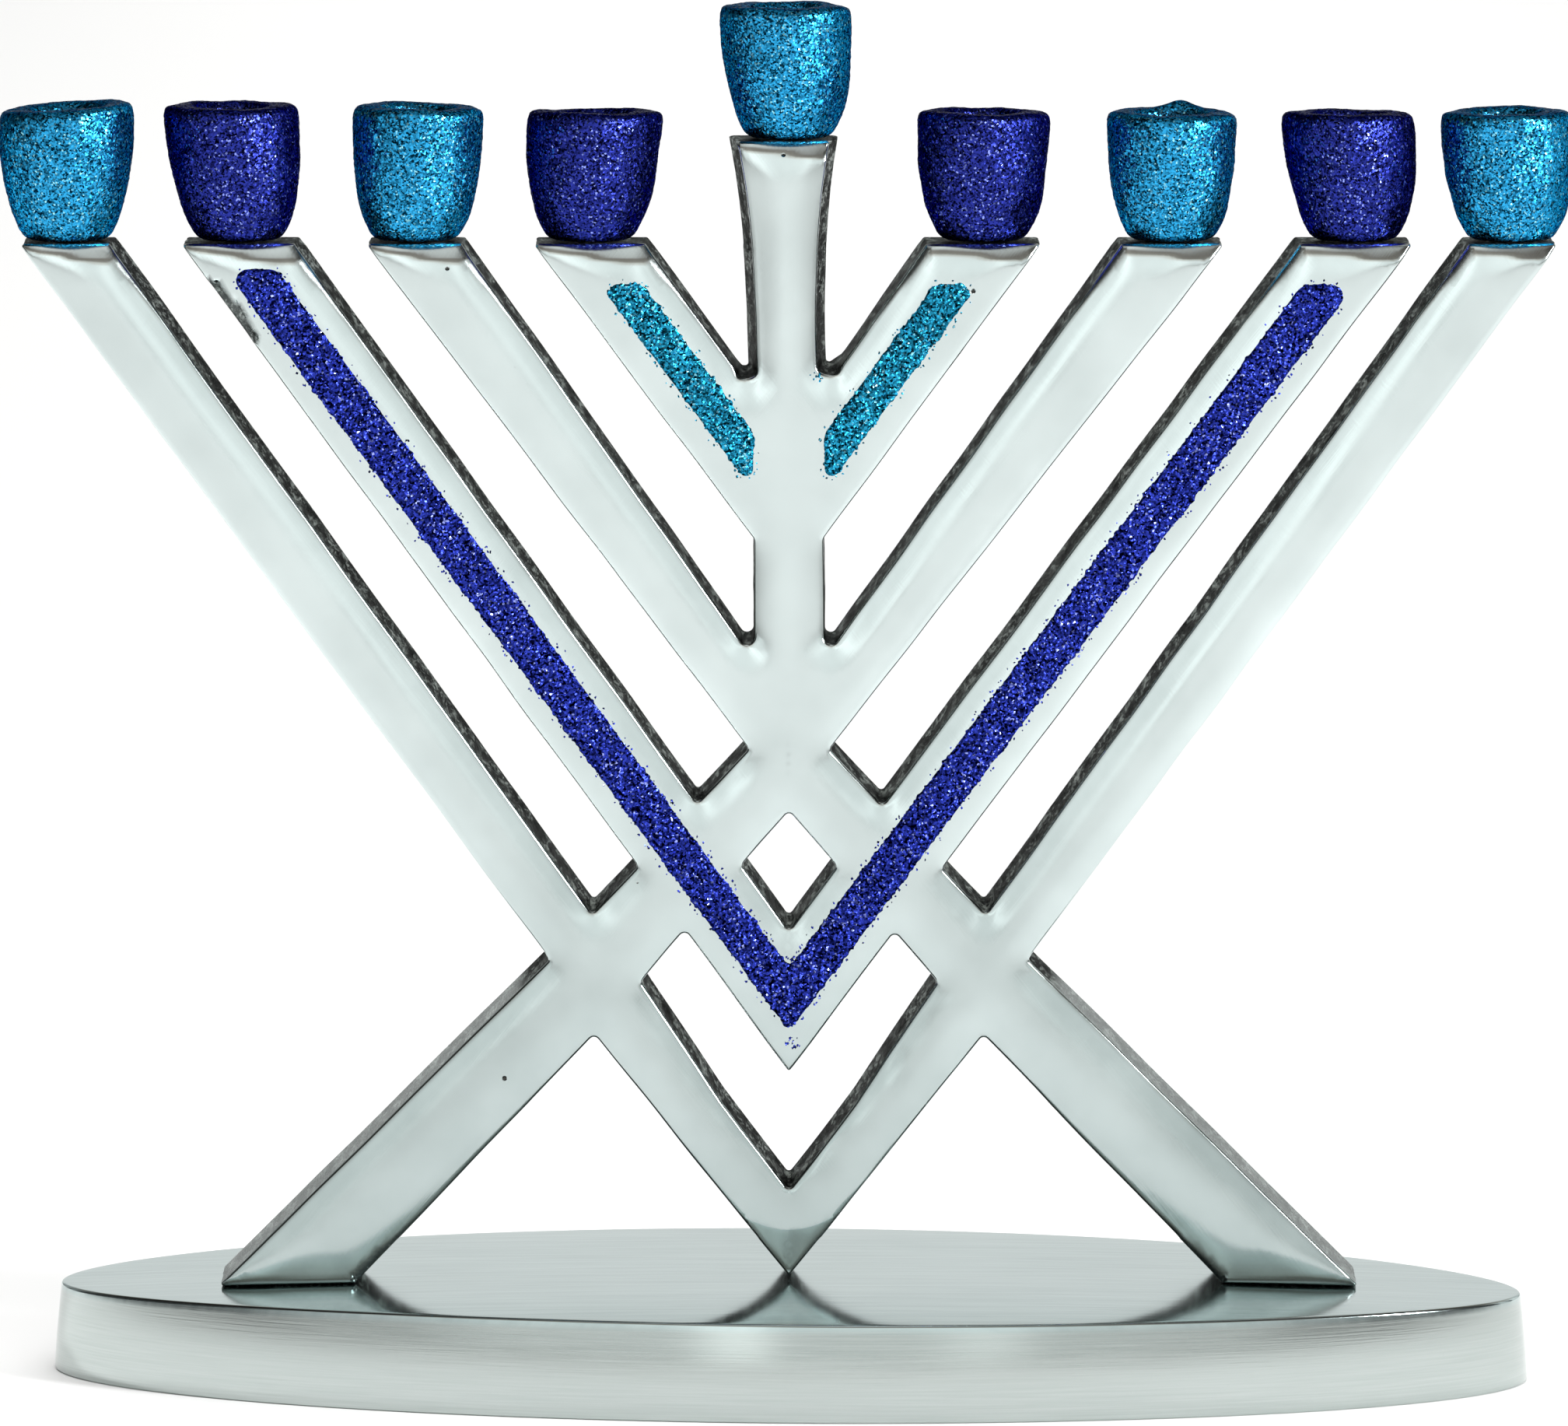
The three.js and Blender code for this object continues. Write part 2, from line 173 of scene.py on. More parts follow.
BASE_HALF_LENGTH = 121.8
BASE_HALF_DEPTH = 45.6
BASE_POWER = 1.9
BASE_TURN = math.radians(-3)
BASE_DRAFT = 1.2
BASE_CENTRE_Z = 17.0
BASE_FALL_X = 2.4
BASE_FALL_FRONT = 1.2
BASE_FALL_BACK = 0.3
BASE_EDGE = 0.5
BASE_CHAMFER = 0.5       # at the foot of the rim
BASE_CURL = 4            # the top is flat for most of its depth and falls near its edge
BASE_WALL = 5.5
BASE_WALL_TAPER = 1.0
BASE_CEILING_Z = 10.5
BASE_SEGMENTS = 320
BASE_RIM_ROWS = 14
BASE_TOP_ROWS = 60
BASE_RIM_BULGE = 0.12
BASE_TOP_WAVE = 0.06
BOSS_X = 81.0
BOSS_RADIUS = 8.0
BOSS_BOTTOM_Z = 6.2
BASE_HOLE_RADIUS = 2.8

# ---------- cups ----------

# A cup's section as (radius, height): up its outside, over its rim, down its socket, to its screw hole.
CUP_OUTSIDE = (
    (6.0, 0.0), (7.3, 0.9), (8.9, 4.0), (9.9, 7.6), (10.55, 11.3), (10.85, 15.0), (11.0, 18.3),
    (10.95, 20.0), (10.65, 20.9), (9.9, 21.35), (8.6, 21.45),
)
CUP_RIM = ((7.1, 21.4), (6.3, 21.2), (5.75, 20.5))
CUP_SOCKET = ((5.7, 20.0), (5.4, 6.9))
CUP_BOTTOM = ((4.9, 6.4), (2.5, 6.4), (2.3, 6.0), (2.3, 0.3), (2.6, 0.0))
CUP_HEIGHT = 21.4
CUP_BARE_AND_SHADE = (5.4, 6.2)    # the coat ends between these radii, inside the rim; the socket below is painted near-black as painted shade
CUP_SKIN = (5.2, 7.0)    # the lumps of the coat set in between these
CUP_AROUND = 180
CUP_STEP = 0.42
CUP_SOCKET_STEP = 1.2
CUP_GRAIN = 0.045
CUP_WAVES = ((0.42, 11, 0), (0.16, 4.5, 1))
CUP_FINE_WAVES = ((0.08, 0.8, 2),)
CUP_RIM_WAVES = ((0.35, 6, 3), (0.08, 1.0, 5))

# How each hand-formed cup differs: sideways lean at its rim, rim tilt to the left and to the front
# (degrees), width of its belly and its height against the standard, and the seed of its lumps.
CupShape = namedtuple("CupShape", "lean tilt nod belly height seed")
CUPS = {
    "cup_1": CupShape(0.0, 3.8, 0.5, 0.99, 1.01, 3),
    "cup_2": CupShape(-1.4, 0.6, 0.4, 0.99, 1.02, 11),
    "cup_3": CupShape(0.7, -1.2, 0.6, 0.97, 1.01, 23),
    "cup_4": CupShape(0.9, 0.2, -0.4, 1.0, 0.975, 37),
    "cup_shamash": CupShape(-0.5, 0.0, 0.3, 0.98, 1.0, 41),
    "cup_5": CupShape(0.0, -0.3, -0.4, 0.98, 0.975, 59),
    "cup_6": CupShape(0.0, -0.6, 0.6, 0.96, 0.97, 61),
    "cup_7": CupShape(-1.2, -0.3, -0.5, 0.98, 0.965, 73),
    "cup_8": CupShape(-1.0, 0.8, 0.5, 0.97, 0.975, 89),
}
LUMPED_CUP = "cup_6"     # has a lump of coating on its rim
LUMP_PLACE = (1.8, 8.0)
LUMP_HEIGHT = 1.15
LUMP_SIZE = 2.7

# ---------- coats of glitter ----------

# The colours that the flakes mirror at a glancing angle are set dark: painted shade, standing in for the
# flakes shading one another.
TEAL_GLANCING_SHADE = (0.005, 0.045, 0.08, 1)
ROYAL_GLANCING_SHADE = (0.01, 0.012, 0.08, 1)
# By slot: a name, the colours of the darkest flakes (painted shadow between flakes), of usual flakes and
# of bright flakes (painted glints), and of all at a glancing angle (set dark as painted shade), the
# flakes' size in metres, and how much they tumble.
COATS = {
    "teal_cup": ("teal_cup_coat", (0.0, 0.02, 0.045, 1), (0.035, 0.44, 0.86, 1), (0.35, 0.85, 1, 1),
                 TEAL_GLANCING_SHADE, 0.00028, 0.55),
    "royal_cup": ("royal_cup_coat", (0.001, 0.001, 0.012, 1), (0.028, 0.042, 0.36, 1),
                  (0.3, 0.38, 1, 1), ROYAL_GLANCING_SHADE, 0.00028, 0.55),
    "teal_glitter": ("teal_fill_coat", (0.0, 0.014, 0.024, 1), (0.025, 0.38, 0.64, 1),
                     (0.3, 0.75, 0.9, 1), TEAL_GLANCING_SHADE, 0.00034, 0.8),
    "royal_glitter": ("royal_fill_coat", (0.0, 0.0, 0.010, 1), (0.03, 0.05, 0.45, 1),
                      (0.35, 0.42, 1, 1), ROYAL_GLANCING_SHADE, 0.00034, 0.8),
}


# ---------- helpers ----------

def linked(name, data):
    """A new object in the scene."""
    thing = bpy.data.objects.new(name, data)
    bpy.context.scene.collection.objects.link(thing)
    return thing


def new_object(name, vertices, faces, smooth=True):
    """A mesh object from vertices in millimetres."""
    mesh = bpy.data.meshes.new(name)
    mesh.from_pydata((np.asarray(vertices, float) * MM).tolist(), [], faces)
    mesh.update()
    if smooth:
        mesh.shade_smooth()
    return linked(name, mesh)


def noise_at(points, scale, seed):
    """Smooth noise from -1 to 1 at each point, with lumps about one scale across."""
    return np.array([noise.noise(Vector(p) / scale + Vector((seed, 7.3 * seed, -seed))) for p in points])


def padded(points):
    """Flat points with a third coordinate of 0."""
    return np.column_stack([points, np.zeros(len(points))])


def upright(points, depth):
    """Flat points (x, z) at these depths, as (x, depth, z)."""
    return np.column_stack([points[:, 0], depth, points[:, 1]])


def waves_at(points, waves, seed=0):
    """A sum of noises. Each has a height, a scale, and what is added to the seed."""
    return sum(height * noise_at(points, scale, seed + more) for height, scale, more in waves)


def smoothstep(low, high, value):
    t = np.clip((value - low) / (high - low), 0, 1)
    return t * t * (3 - 2 * t)


def set_attribute(thing, name, values):
    attribute = thing.data.attributes.new(name, "FLOAT", "POINT")
    attribute.data.foreach_set("value", np.asarray(values, np.float32))


def finish_piece(thing, nodes, material):
    thing.data.materials.append(material)
    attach(thing, "root")
    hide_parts(*nodes)


# ---------- flat outlines ----------

def flat_loops(node, depth):
    """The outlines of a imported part's flat side at Y = depth, in millimetres: arrays of (x, z)."""
    mesh = frame["nodes"][node].data
    mesh.calc_loop_triangles()
    points = np.array([v.co for v in mesh.vertices]) / MM
    following = {}
    for triangle in mesh.loop_triangles:
        corners = points[list(triangle.vertices)]
        if np.abs(corners[:, 1] - depth).max() > 0.02:
            continue
        keys = [(round(x, 2), round(z, 2)) for x, _, z in corners.tolist()]
        for a, b in zip(keys, keys[1:] + keys[:1]):
            if (b, a) in following:
                del following[(b, a)]
            else:
                following[(a, b)] = True
    after = {a: b for a, b in following if a != b}
    loops = []
    while after:
        first, point = after.popitem()
        loop = [first]
        while point != first:
            loop.append(point)
            point = after.pop(point)
        loops.append(without_straights(np.array(loop)))
    outer = max(loops, key=lambda loop: abs(signed_area(loop)))
    if signed_area(outer) < 0:
        loops = [loop[::-1] for loop in loops]
    return loops


def stripe_fillet(point, concave):
    """The stripes have round upper ends."""
    return STRIPE_END_FILLET if point[1] > STRIPE_ENDS_Z else STRIPE_FILLET


def stripe_loops(node):
    """A glitter stripe's outlines, with its upper ends moved along their arms."""
    loops = flat_loops(node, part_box(node)[0].y / MM)
    for loop in loops:
        for side, reach in zip((-1, 1), STRIPE_ENDS[node]):
            here = np.sign(loop[:, 0]) == side
            if here.any():
                top = loop[here, 1].max()
                share = here * smoothstep(top - STRIPE_END_REACH, top - 3, loop[:, 1])
                loop += np.outer(share * reach, (side * ARM_DIRECTION[0], ARM_DIRECTION[1]))
    return [rounded(loop, stripe_fillet) for loop in loops]


def signed_area(loop):
    after = np.roll(loop, -1, axis=0)
    return float((loop[:, 0] * after[:, 1] - loop[:, 1] * after[:, 0]).sum() / 2)


def without_straights(loop):
    """The loop without the points that lie on a straight line between their neighbours."""
    kept = list(loop)
    i = 0
    while i < len(kept) and len(kept) > 3:
        a, p, b = kept[i - 1], kept[i], kept[(i + 1) % len(kept)]
        along = b - a
        off = abs(along[0] * (p - a)[1] - along[1] * (p - a)[0]) / max(np.hypot(*along), 1e-9)
        if off < 0.03:
            kept.pop(i)
        else:
            i += 1
    return np.array(kept)


def rounded(loop, radius_of, steps=8):
    """The loop with an arc at each corner. The solid lies on its left."""
    made = []
    for i, point in enumerate(loop):
        before, after = loop[i - 1] - point, loop[(i + 1) % len(loop)] - point
        room = 0.45 * min(np.hypot(*before), np.hypot(*after))
        before, after = before / np.hypot(*before), after / np.hypot(*after)
        half = math.acos(np.clip(before @ after, -1, 1)) / 2
        concave = before[0] * after[1] - before[1] * after[0] > 0
        if half > math.radians(86):
            made.append(point)
            continue
        reach = min(radius_of(point, concave) / math.tan(half), room)
        radius = reach * math.tan(half)
        middle = (before + after) / np.hypot(*(before + after))
        centre = point + middle * reach / math.cos(half)
        across = (before - after) / np.hypot(*(before - after))
        for turn in np.linspace(1, -1, steps + 1) * (math.pi / 2 - half):
            made.append(centre + radius * (across * math.sin(turn) - middle * math.cos(turn)))
    return np.array(made)


def resampled(loop, spacing):
    """The loop with its long edges split evenly."""
    made = []
    for a, b in zip(loop, np.roll(loop, -1, axis=0)):
        count = max(1, math.ceil(np.hypot(*(b - a)) / spacing))
        made.extend(a + (b - a) * t for t in np.arange(count) / count)
    made = np.array(made)
    apart = np.hypot(*(made - np.roll(made, 1, axis=0)).T)
    return made[apart > 0.02]


def inward_normals(loop):
    along = np.roll(loop, -1, axis=0) - np.roll(loop, 1, axis=0)
    along /= np.hypot(*along.T)[:, None]
    return np.column_stack([-along[:, 1], along[:, 0]])


class Region:
    """The area inside a set of loops, whose points lie close together."""

    def __init__(self, loops):
        self.loops = loops
        self.starts = np.vstack(loops)
        self.ends = np.vstack([np.roll(loop, -1, axis=0) for loop in loops])
        self.normals = np.vstack([inward_normals(loop) for loop in loops])
        firsts = np.cumsum([0] + [len(loop) for loop in loops]).tolist()
        self.rings = [list(range(first, last)) for first, last in zip(firsts, firsts[1:])]
        self.before = np.concatenate([np.roll(ring, 1) for ring in self.rings])
        self.tree = point_tree(self.starts)

    def nearest(self, points):
        """The edge point that is nearest to each point."""
        return np.array([self.tree.find((x, z, 0))[1] for x, z in points.tolist()])

    def distance(self, points):
        """How far each point is from the edge."""
        near = self.nearest(points)
        best = np.full(len(points), np.inf)
        for segment in (near, self.before[near]):
            a, b = self.starts[segment], self.ends[segment]
            along = b - a
            t = ((points - a) * along).sum(1) / np.maximum((along ** 2).sum(1), 1e-12)
            off = points - a - np.clip(t, 0, 1)[:, None] * along
            best = np.minimum(best, np.hypot(off[:, 0], off[:, 1]))
        return best

    def inside(self, points):
        order = np.argsort(points[:, 1])
        x, z = points[order, 0], points[order, 1]
        low = np.minimum(self.starts[:, 1], self.ends[:, 1])
        high = np.maximum(self.starts[:, 1], self.ends[:, 1])
        firsts, lasts = np.searchsorted(z, low), np.searchsorted(z, high)
        crossings = np.zeros(len(points), int)
        for a, b, first, last in zip(self.starts, self.ends, firsts, lasts):
            if last > first:
                at = a[0] + (z[first:last] - a[1]) * (b[0] - a[0]) / (b[1] - a[1])
                crossings[first:last] += x[first:last] < at
        found = np.empty(len(points), bool)
        found[order] = crossings % 2 == 1
        return found

    def signed(self, points):
        """Distance to the edge, positive inside."""
        return np.where(self.inside(points), 1, -1) * self.distance(points)


def point_tree(points):
    tree = KDTree(len(points))
    for i, (x, z) in enumerate(points.tolist()):
        tree.insert((x, z, 0), i)
    tree.balance()
    return tree


def hex_grid(low, high, spacing):
    rows = []
    for j, z in enumerate(np.arange(low[1], high[1], spacing * 0.866)):
        xs = np.arange(low[0] + (j % 2) * spacing / 2, high[0], spacing)
        rows.append(np.column_stack([xs, np.full(len(xs), z)]))
    return np.vstack(rows)


def triangulated(region, offsets, spacing, creases=()):
    """Points and triangles that fill a region, and the numbers of the points along each of its loops.

    Rows of points follow the edge at each of the offsets, and a grid fills the rest. The lines of
    creases are edges of triangles too.
    """
    rows = [*region.loops, *creases]
    edges = []
    first = 0
    for loop in rows:
        size = len(loop)
        edges += [(first + i, first + (i + 1) % size) for i in range(size)]
        first += size
    for offset in offsets:
        row = region.starts + region.normals * offset
        rows.append(row[region.signed(row) > offset * 0.9])
    grid = hex_grid(region.starts.min(0), region.starts.max(0), spacing)
    grid = grid[region.signed(grid) > offsets[-1] + spacing * 0.55]
    if creases:
        grid = grid[Region(creases).distance(grid) > spacing * 0.4]
    rows.append(grid)
    made = delaunay_2d_cdt([Vector(p) for p in np.vstack(rows)], edges, [], 0, 1e-6)
    points = np.array([(v.x, v.y) for v in made[0]])
    order = {origin: i for i, origins in enumerate(made[3]) for origin in origins}
    triangles = np.array([f for f in made[2] if len(f) == 3])
    triangles = triangles[region.inside(points[triangles].mean(1))]
    a, b, c = (points[triangles[:, i]] for i in range(3))
    turns = (b - a)[:, 0] * (c - a)[:, 1] - (b - a)[:, 1] * (c - a)[:, 0]
    triangles[turns < 0] = triangles[turns < 0][:, ::-1]
    return points, triangles, [[order[i] for i in ring] for ring in region.rings]


def blurred(field, reach):
    """A grid of values, blurred along both ways over this many cells."""
    span = np.arange(-math.ceil(3 * reach), math.ceil(3 * reach) + 1)
    weights = np.exp(-0.5 * (span / reach) ** 2)
    weights /= weights.sum()
    for axis in (0, 1):
        field = np.apply_along_axis(np.convolve, axis, field, weights, "same")
    return field


class Pillow:
    """How far a pillowed face falls back towards its edges: 0 in its middle, about 1 at its edges."""

    def __init__(self, region):
        margin = 4 * PILLOW_BLUR
        self.low = region.starts.min(0) - margin
        size = np.ceil((region.starts.max(0) + margin - self.low) / PILLOW_GRID).astype(int)
        columns, rows = (self.low[i] + PILLOW_GRID * np.arange(size[i]) for i in (0, 1))
        places = np.array([(x, z) for x in columns for z in rows])
        across = np.clip(1 - region.signed(places) / CROWN_REACH, 0, 2)
        self.field = blurred((across ** CROWN_POWER).reshape(size), PILLOW_BLUR / PILLOW_GRID)

    def at(self, points):
        place = (points - self.low) / PILLOW_GRID
        cell = np.floor(place).astype(int)
        (i, j), (u, v) = cell.T, (place - cell).T
        near = self.field[i, j] * (1 - v) + self.field[i, j + 1] * v
        far = self.field[i + 1, j] * (1 - v) + self.field[i + 1, j + 1] * v
        return near * (1 - u) + far * u


# ---------- lattice ----------

def rolled(distance, radius):
    """How far a rounded edge falls back at this distance from it."""
    inner = np.clip(radius - distance, 0, radius)
    return radius - np.sqrt(radius ** 2 - inner ** 2)


def column_shift(points):
    """The column leans a little, by hand."""
    heights, shifts = zip(*COLUMN_LEAN)
    shift = np.interp(points[:, 1], heights, shifts)
    return shift * column_part(points)


def lattice_fillet(point, concave):
    """Sharp outer corners, wide throats where arms meet the column, and small fillets elsewhere."""
    if not concave:
        return CONVEX_FILLET
    at_column = abs(point[0]) < COLUMN_REACH and point[1] > COLUMN_FOOT_Z
    return COLUMN_FILLET if at_column else CONCAVE_FILLET


def lattice_region():
    """The lattice's outlines, which wander a little between its tops and its feet."""
    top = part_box("frame")[1].z / MM
    loops = []
    for loop in flat_loops("frame", BACK_Y):
        loop = resampled(rounded(loop, lattice_fillet), SPACING * 0.9)
        loop = loop + padded(column_shift(loop))
        free = (loop[:, 1] < top - OUTLINE_FREE_BELOW) & (loop[:, 1] > OUTLINE_FREE_Z)
        wobble = waves_at(padded(loop), OUTLINE_WAVES) * free
        loops.append(loop + inward_normals(loop) * wobble[:, None])
    return Region(loops)


def column_part(points):
    """1 in the column's upper part, 0 elsewhere. The column flares towards its top."""
    reach = np.interp(points[:, 1], COLUMN_FLARE_Z, (COLUMN_HALF_WIDTH, COLUMN_REACH))
    beside = smoothstep(reach, reach + COLUMN_SOFT, np.abs(points[:, 0]))
    return smoothstep(*COLUMN_PART_Z, points[:, 1]) * (1 - beside)


def tops_above(points):
    """The height of the arm tops, or of the column's top, above each point."""
    arm_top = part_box("cup_1")[0].z / MM - CUP_GAP
    column_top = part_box("frame")[1].z / MM
    return np.where(np.abs(points[:, 0]) < COLUMN_REACH, column_top, arm_top)


def above_foot(points):
    """The height above the feet, or a large number away from them."""
    feet = np.abs(points[:, 0]) > FOOT_INNER_X
    return np.where(feet, np.clip(points[:, 1] - FOOT_Z, 0, None), 1000)


def sloped(distance, band, slope):
    """How far a shoulder falls back. Its slope grows evenly over the band, up to this at the edge."""
    inner = np.clip(band - distance, 0, None)
    return slope * inner ** 2 / (2 * np.maximum(band, 0.01))


def facet(inner, slope, soft):
    """How far a flat facet falls back, this far inside its soft line."""
    return slope * (inner + np.sqrt(inner ** 2 + soft ** 2)) / 2


def top_band(points):
    """The width of the sloping band at the arm tops, which grows from each arm's left to its right."""
    centres = np.array([sum(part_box(node), Vector()).x / 2 / MM for node in CUPS])
    offsets = points[:, :1] - centres
    nearest = offsets[np.arange(len(points)), np.abs(offsets).argmin(1)]
    return TOP_BAND[0] + (TOP_BAND[1] - TOP_BAND[0]) * smoothstep(*TOP_BAND_X, nearest)


def soft_band(points, normals):
    """The width of the sloping band along the inner edges, near the arm tops and the feet."""
    from_end = np.minimum(tops_above(points) - points[:, 1], above_foot(points))
    inner = smoothstep(0.1, 0.5, normals[:, 0] * np.sign(points[:, 0]))
    return SOFT_BAND * inner * (1 - smoothstep(0, SOFT_REACH, from_end))


def shoulders(points, distance, normals):
    """The faces slope back at the arm tops, at the feet, and along the inner edges near both."""
    drops = (
        facet(top_band(points) - tops_above(points) + points[:, 1], TOP_SLOPE, TOP_SOFT),
        sloped(above_foot(points), FOOT_BAND, FOOT_SLOPE),
        sloped(distance, soft_band(points, normals), SOFT_SLOPE),
    )
    return np.max(drops, axis=0)


def ripples(points):
    """Long shallow waves along the bars."""
    side, away, z = np.sign(points[:, 0]), np.abs(points[:, 0]), points[:, 1]
    leg_share = 1 - smoothstep(*LEG_BLEND_Z, z)
    column_share = (1 - smoothstep(*COLUMN_BLEND_X, away)) * smoothstep(*COLUMN_BLEND_Z, z)
    arm_share = (1 - leg_share) * (1 - column_share)
    total = np.zeros(len(points))
    for share, (along_x, along_z), seed in ((arm_share, ARM_DIRECTION, 3), (leg_share, LEG_DIRECTION, 8)):
        across = (away * along_z - z * along_x) / RIPPLE_SIZE[0]
        along = (away * along_x + z * along_z) / RIPPLE_SIZE[1]
        waves = noise_at(np.column_stack([across, along, side * 2.3]), 1, seed)
        total += share * waves
    waves = noise_at(padded(points / COLUMN_RIPPLE_SIZE), 1, 12)
    return RIPPLE * (total + column_share * waves)


def dent_depths(points):
    """How deep the rough facets are at each point."""
    depth = np.zeros(len(points))
    for dent in DENTS:
        start, along = np.array(dent["from"]), np.subtract(dent["to"], dent["from"])
        share = np.clip((points - start) @ along / (along @ along), 0, 1)
        off = np.hypot(*(points - start - np.outer(share, along)).T)
        taper = 0.35 + 0.65 * np.sin(math.pi * share)
        depth += dent["depth"] * (1 - smoothstep(0.3, 1.0, off / (dent["width"] * taper)))
    return depth


def tip_arc(x):
    """The height of the shallow arc below which the lowest V's tip is ground back."""
    return TIP_FACET["z"] + TIP_FACET["curve"] * x ** 2


def below_arc(points):
    x, z = points.T
    return np.where(np.abs(x) < TIP_FACET["reach"], tip_arc(x) - z, -10)


def tip_crease(region):
    """A slim loop along that arc, so that the mesh follows it."""
    x = np.arange(-TIP_FACET["reach"], TIP_FACET["reach"], SPACING / 2)
    line = np.column_stack([x, tip_arc(x)])
    line = line[region.signed(line) > SPACING / 2]
    rise = (0, TIP_FACET["soft"])
    return np.vstack([line - rise, line[::-1] + rise])


def tip_facet(points):
    return facet(below_arc(points), TIP_FACET["slope"], TIP_FACET["soft"])


def crown_share(points):
    """The lowest V gets flatter towards its tip."""
    x, z = np.abs(points[:, 0]), points[:, 1]
    away = np.maximum(smoothstep(*TIP_CROWN_Z, z), smoothstep(*TIP_CROWN_X, x))
    return TIP_CROWN + (1 - TIP_CROWN) * away


def face_depth(points, region, pillow):
    """How far the front face lies behind FRONT_Y at each point, apart from the grooves."""
    distance = region.distance(points)
    normals = region.normals[region.nearest(points)]
    depth = CROWN * crown_share(points) * pillow.at(points)
    depth += ripples(points) * smoothstep(0, 1.5, distance)
    depth += tip_facet(points) + rolled(distance, EDGE_RADIUS)
    return depth + shoulders(points, distance, normals) + dent_depths(points)


def face_normals(points, depth_at):
    """The normals of a face that lies this far back at each point."""
    rises = [depth_at(points + way) - depth_at(points - way) for way in np.eye(2) * NORMAL_STEP]
    normals = upright(np.column_stack(rises) / (2 * NORMAL_STEP), -np.ones(len(points)))
    return normals / np.linalg.norm(normals, axis=1)[:, None]


def plate_faces(count, triangles, rings, rows):
    """Faces of a plate: its front and its back, and walls with this many rows of points in between."""
    faces = triangles.tolist() + (triangles[:, ::-1] + count).tolist()
    first = 2 * count
    for ring in rings:
        size = len(ring)
        lines = [range(first + r * size, first + (r + 1) * size) for r in range(rows)]
        lines = [ring, *lines, [i + count for i in ring]]
        first += rows * size
        for near, far in zip(lines, lines[1:]):
            for i in range(size):
                j = (i + 1) % size
                faces.append((near[i], far[i], far[j], near[j]))
    return faces


def wall_cast(points, outward):
    """How rough the walls are: as cast, apart from the legs' outer sides, which lie halfway to a polished
    face; their darker colour is partly painted shade.
    """
    x, z = points.T
    low = 1 - smoothstep(LEG_TOP_Z - 2, LEG_TOP_Z + 1, z)
    outer = smoothstep(LEG_INNER_X, LEG_INNER_X + 3, np.abs(x))
    facing_out = smoothstep(0.2, 0.5, outward[:, 0] * np.sign(x))
    facing_up = smoothstep(-0.1, 0.2, outward[:, 1])
    return 1 - (1 - LEG_SIDE_ROUGH_AND_SHADE) * low * outer * facing_out * facing_up


def face_cast(points, distance, normals):
    """How rough the front is, which darkens it too: only on the dents, the inner edges' bands and the
    ground tip, where the darkening is painted reflection.
    """
    below = below_arc(points)
    ground = smoothstep(0, 0.4, below) * (1 - smoothstep(*TIP_FACET["fade"], below))
    band = smoothstep(0.2, 0.9, soft_band(points, normals) - distance)
    dented = smoothstep(0.1, 0.4, dent_depths(points))
    return np.maximum(DENT_CAST * dented, SOFT_CAST * band + TIP_FACET["cast"] * ground)


def make_lattice(material):
    """The lattice, and the points and heights of its front face."""
    region = lattice_region()
    grooves = [resampled(loop, SPACING) for node in STRIPE_ENDS for loop in stripe_loops(node)]
    groove = Region(grooves)
    creases = [*grooves, tip_crease(region)]
    points, triangles, rings = triangulated(region, FACE_ROWS, SPACING, creases)
    distance = region.distance(points)
    normals = region.normals[region.nearest(points)]
    influence = normals * np.exp(-distance / EDGE_INFLUENCE)[:, None]
    column = column_part(points)

    pillow = Pillow(region)
    level = FRONT_Y + face_depth(points, region, pillow)
    recess = GROOVE_DEPTH * smoothstep(0.0, 0.5, groove.signed(points) + 0.02)
    narrowed = points[:, 0] + influence[:, 0] * COLUMN_INSET * column
    front = np.column_stack([narrowed, level + recess, points[:, 1]])

    to_top = tops_above(points) - points[:, 1]
    flare = influence * (DRAFT + COLUMN_DRAFT * column)[:, None]
    flare[:, 1] *= smoothstep(0.4, 1.2, to_top)
    widened = points - flare
    back_drop = BACK_CROWN * pillow.at(points) + rolled(distance, BACK_EDGE_RADIUS)
    back_drop += rolled(np.clip(to_top, 0, None), BACK_EDGE_RADIUS)
    back = upright(widened, BACK_Y - back_drop)

    vertices = [front, back]
    cast = [face_cast(points, distance, normals), np.full(len(points), BACK_CAST)]
    for ring, loop in zip(rings, region.loops):
        near, far = front[ring], back[ring]
        outward = upright(-inward_normals(loop), np.zeros(len(loop)))
        side_cast = wall_cast(near[:, [0, 2]], outward[:, [0, 2]])
        for share in WALL_SHARES:
            row = near + (far - near) * share
            rough = waves_at(row, WALL_WAVES) * math.sin(math.pi * share) ** 0.5 * side_cast
            vertices.append(row + outward * rough[:, None])
            cast.append(side_cast)
    vertices = np.vstack(vertices)
    faces = plate_faces(len(points), triangles, rings, len(WALL_SHARES))
    lattice = new_object("lattice", vertices, faces)
    set_attribute(lattice, "cast", np.concatenate(cast))

    exact = np.zeros((len(vertices), 3))
    clear = (distance > NORMAL_STEP + EDGE_RADIUS) & (groove.signed(points) < 0.05)
    clear = np.flatnonzero(clear)
    exact[clear] = face_normals(points[clear], lambda places: face_depth(places, region, pillow))
    lattice.data.normals_split_custom_set_from_vertices(exact.tolist())
    finish_piece(lattice, ["frame"], material)
    return points, level


# ---------- glitter fillings ----------

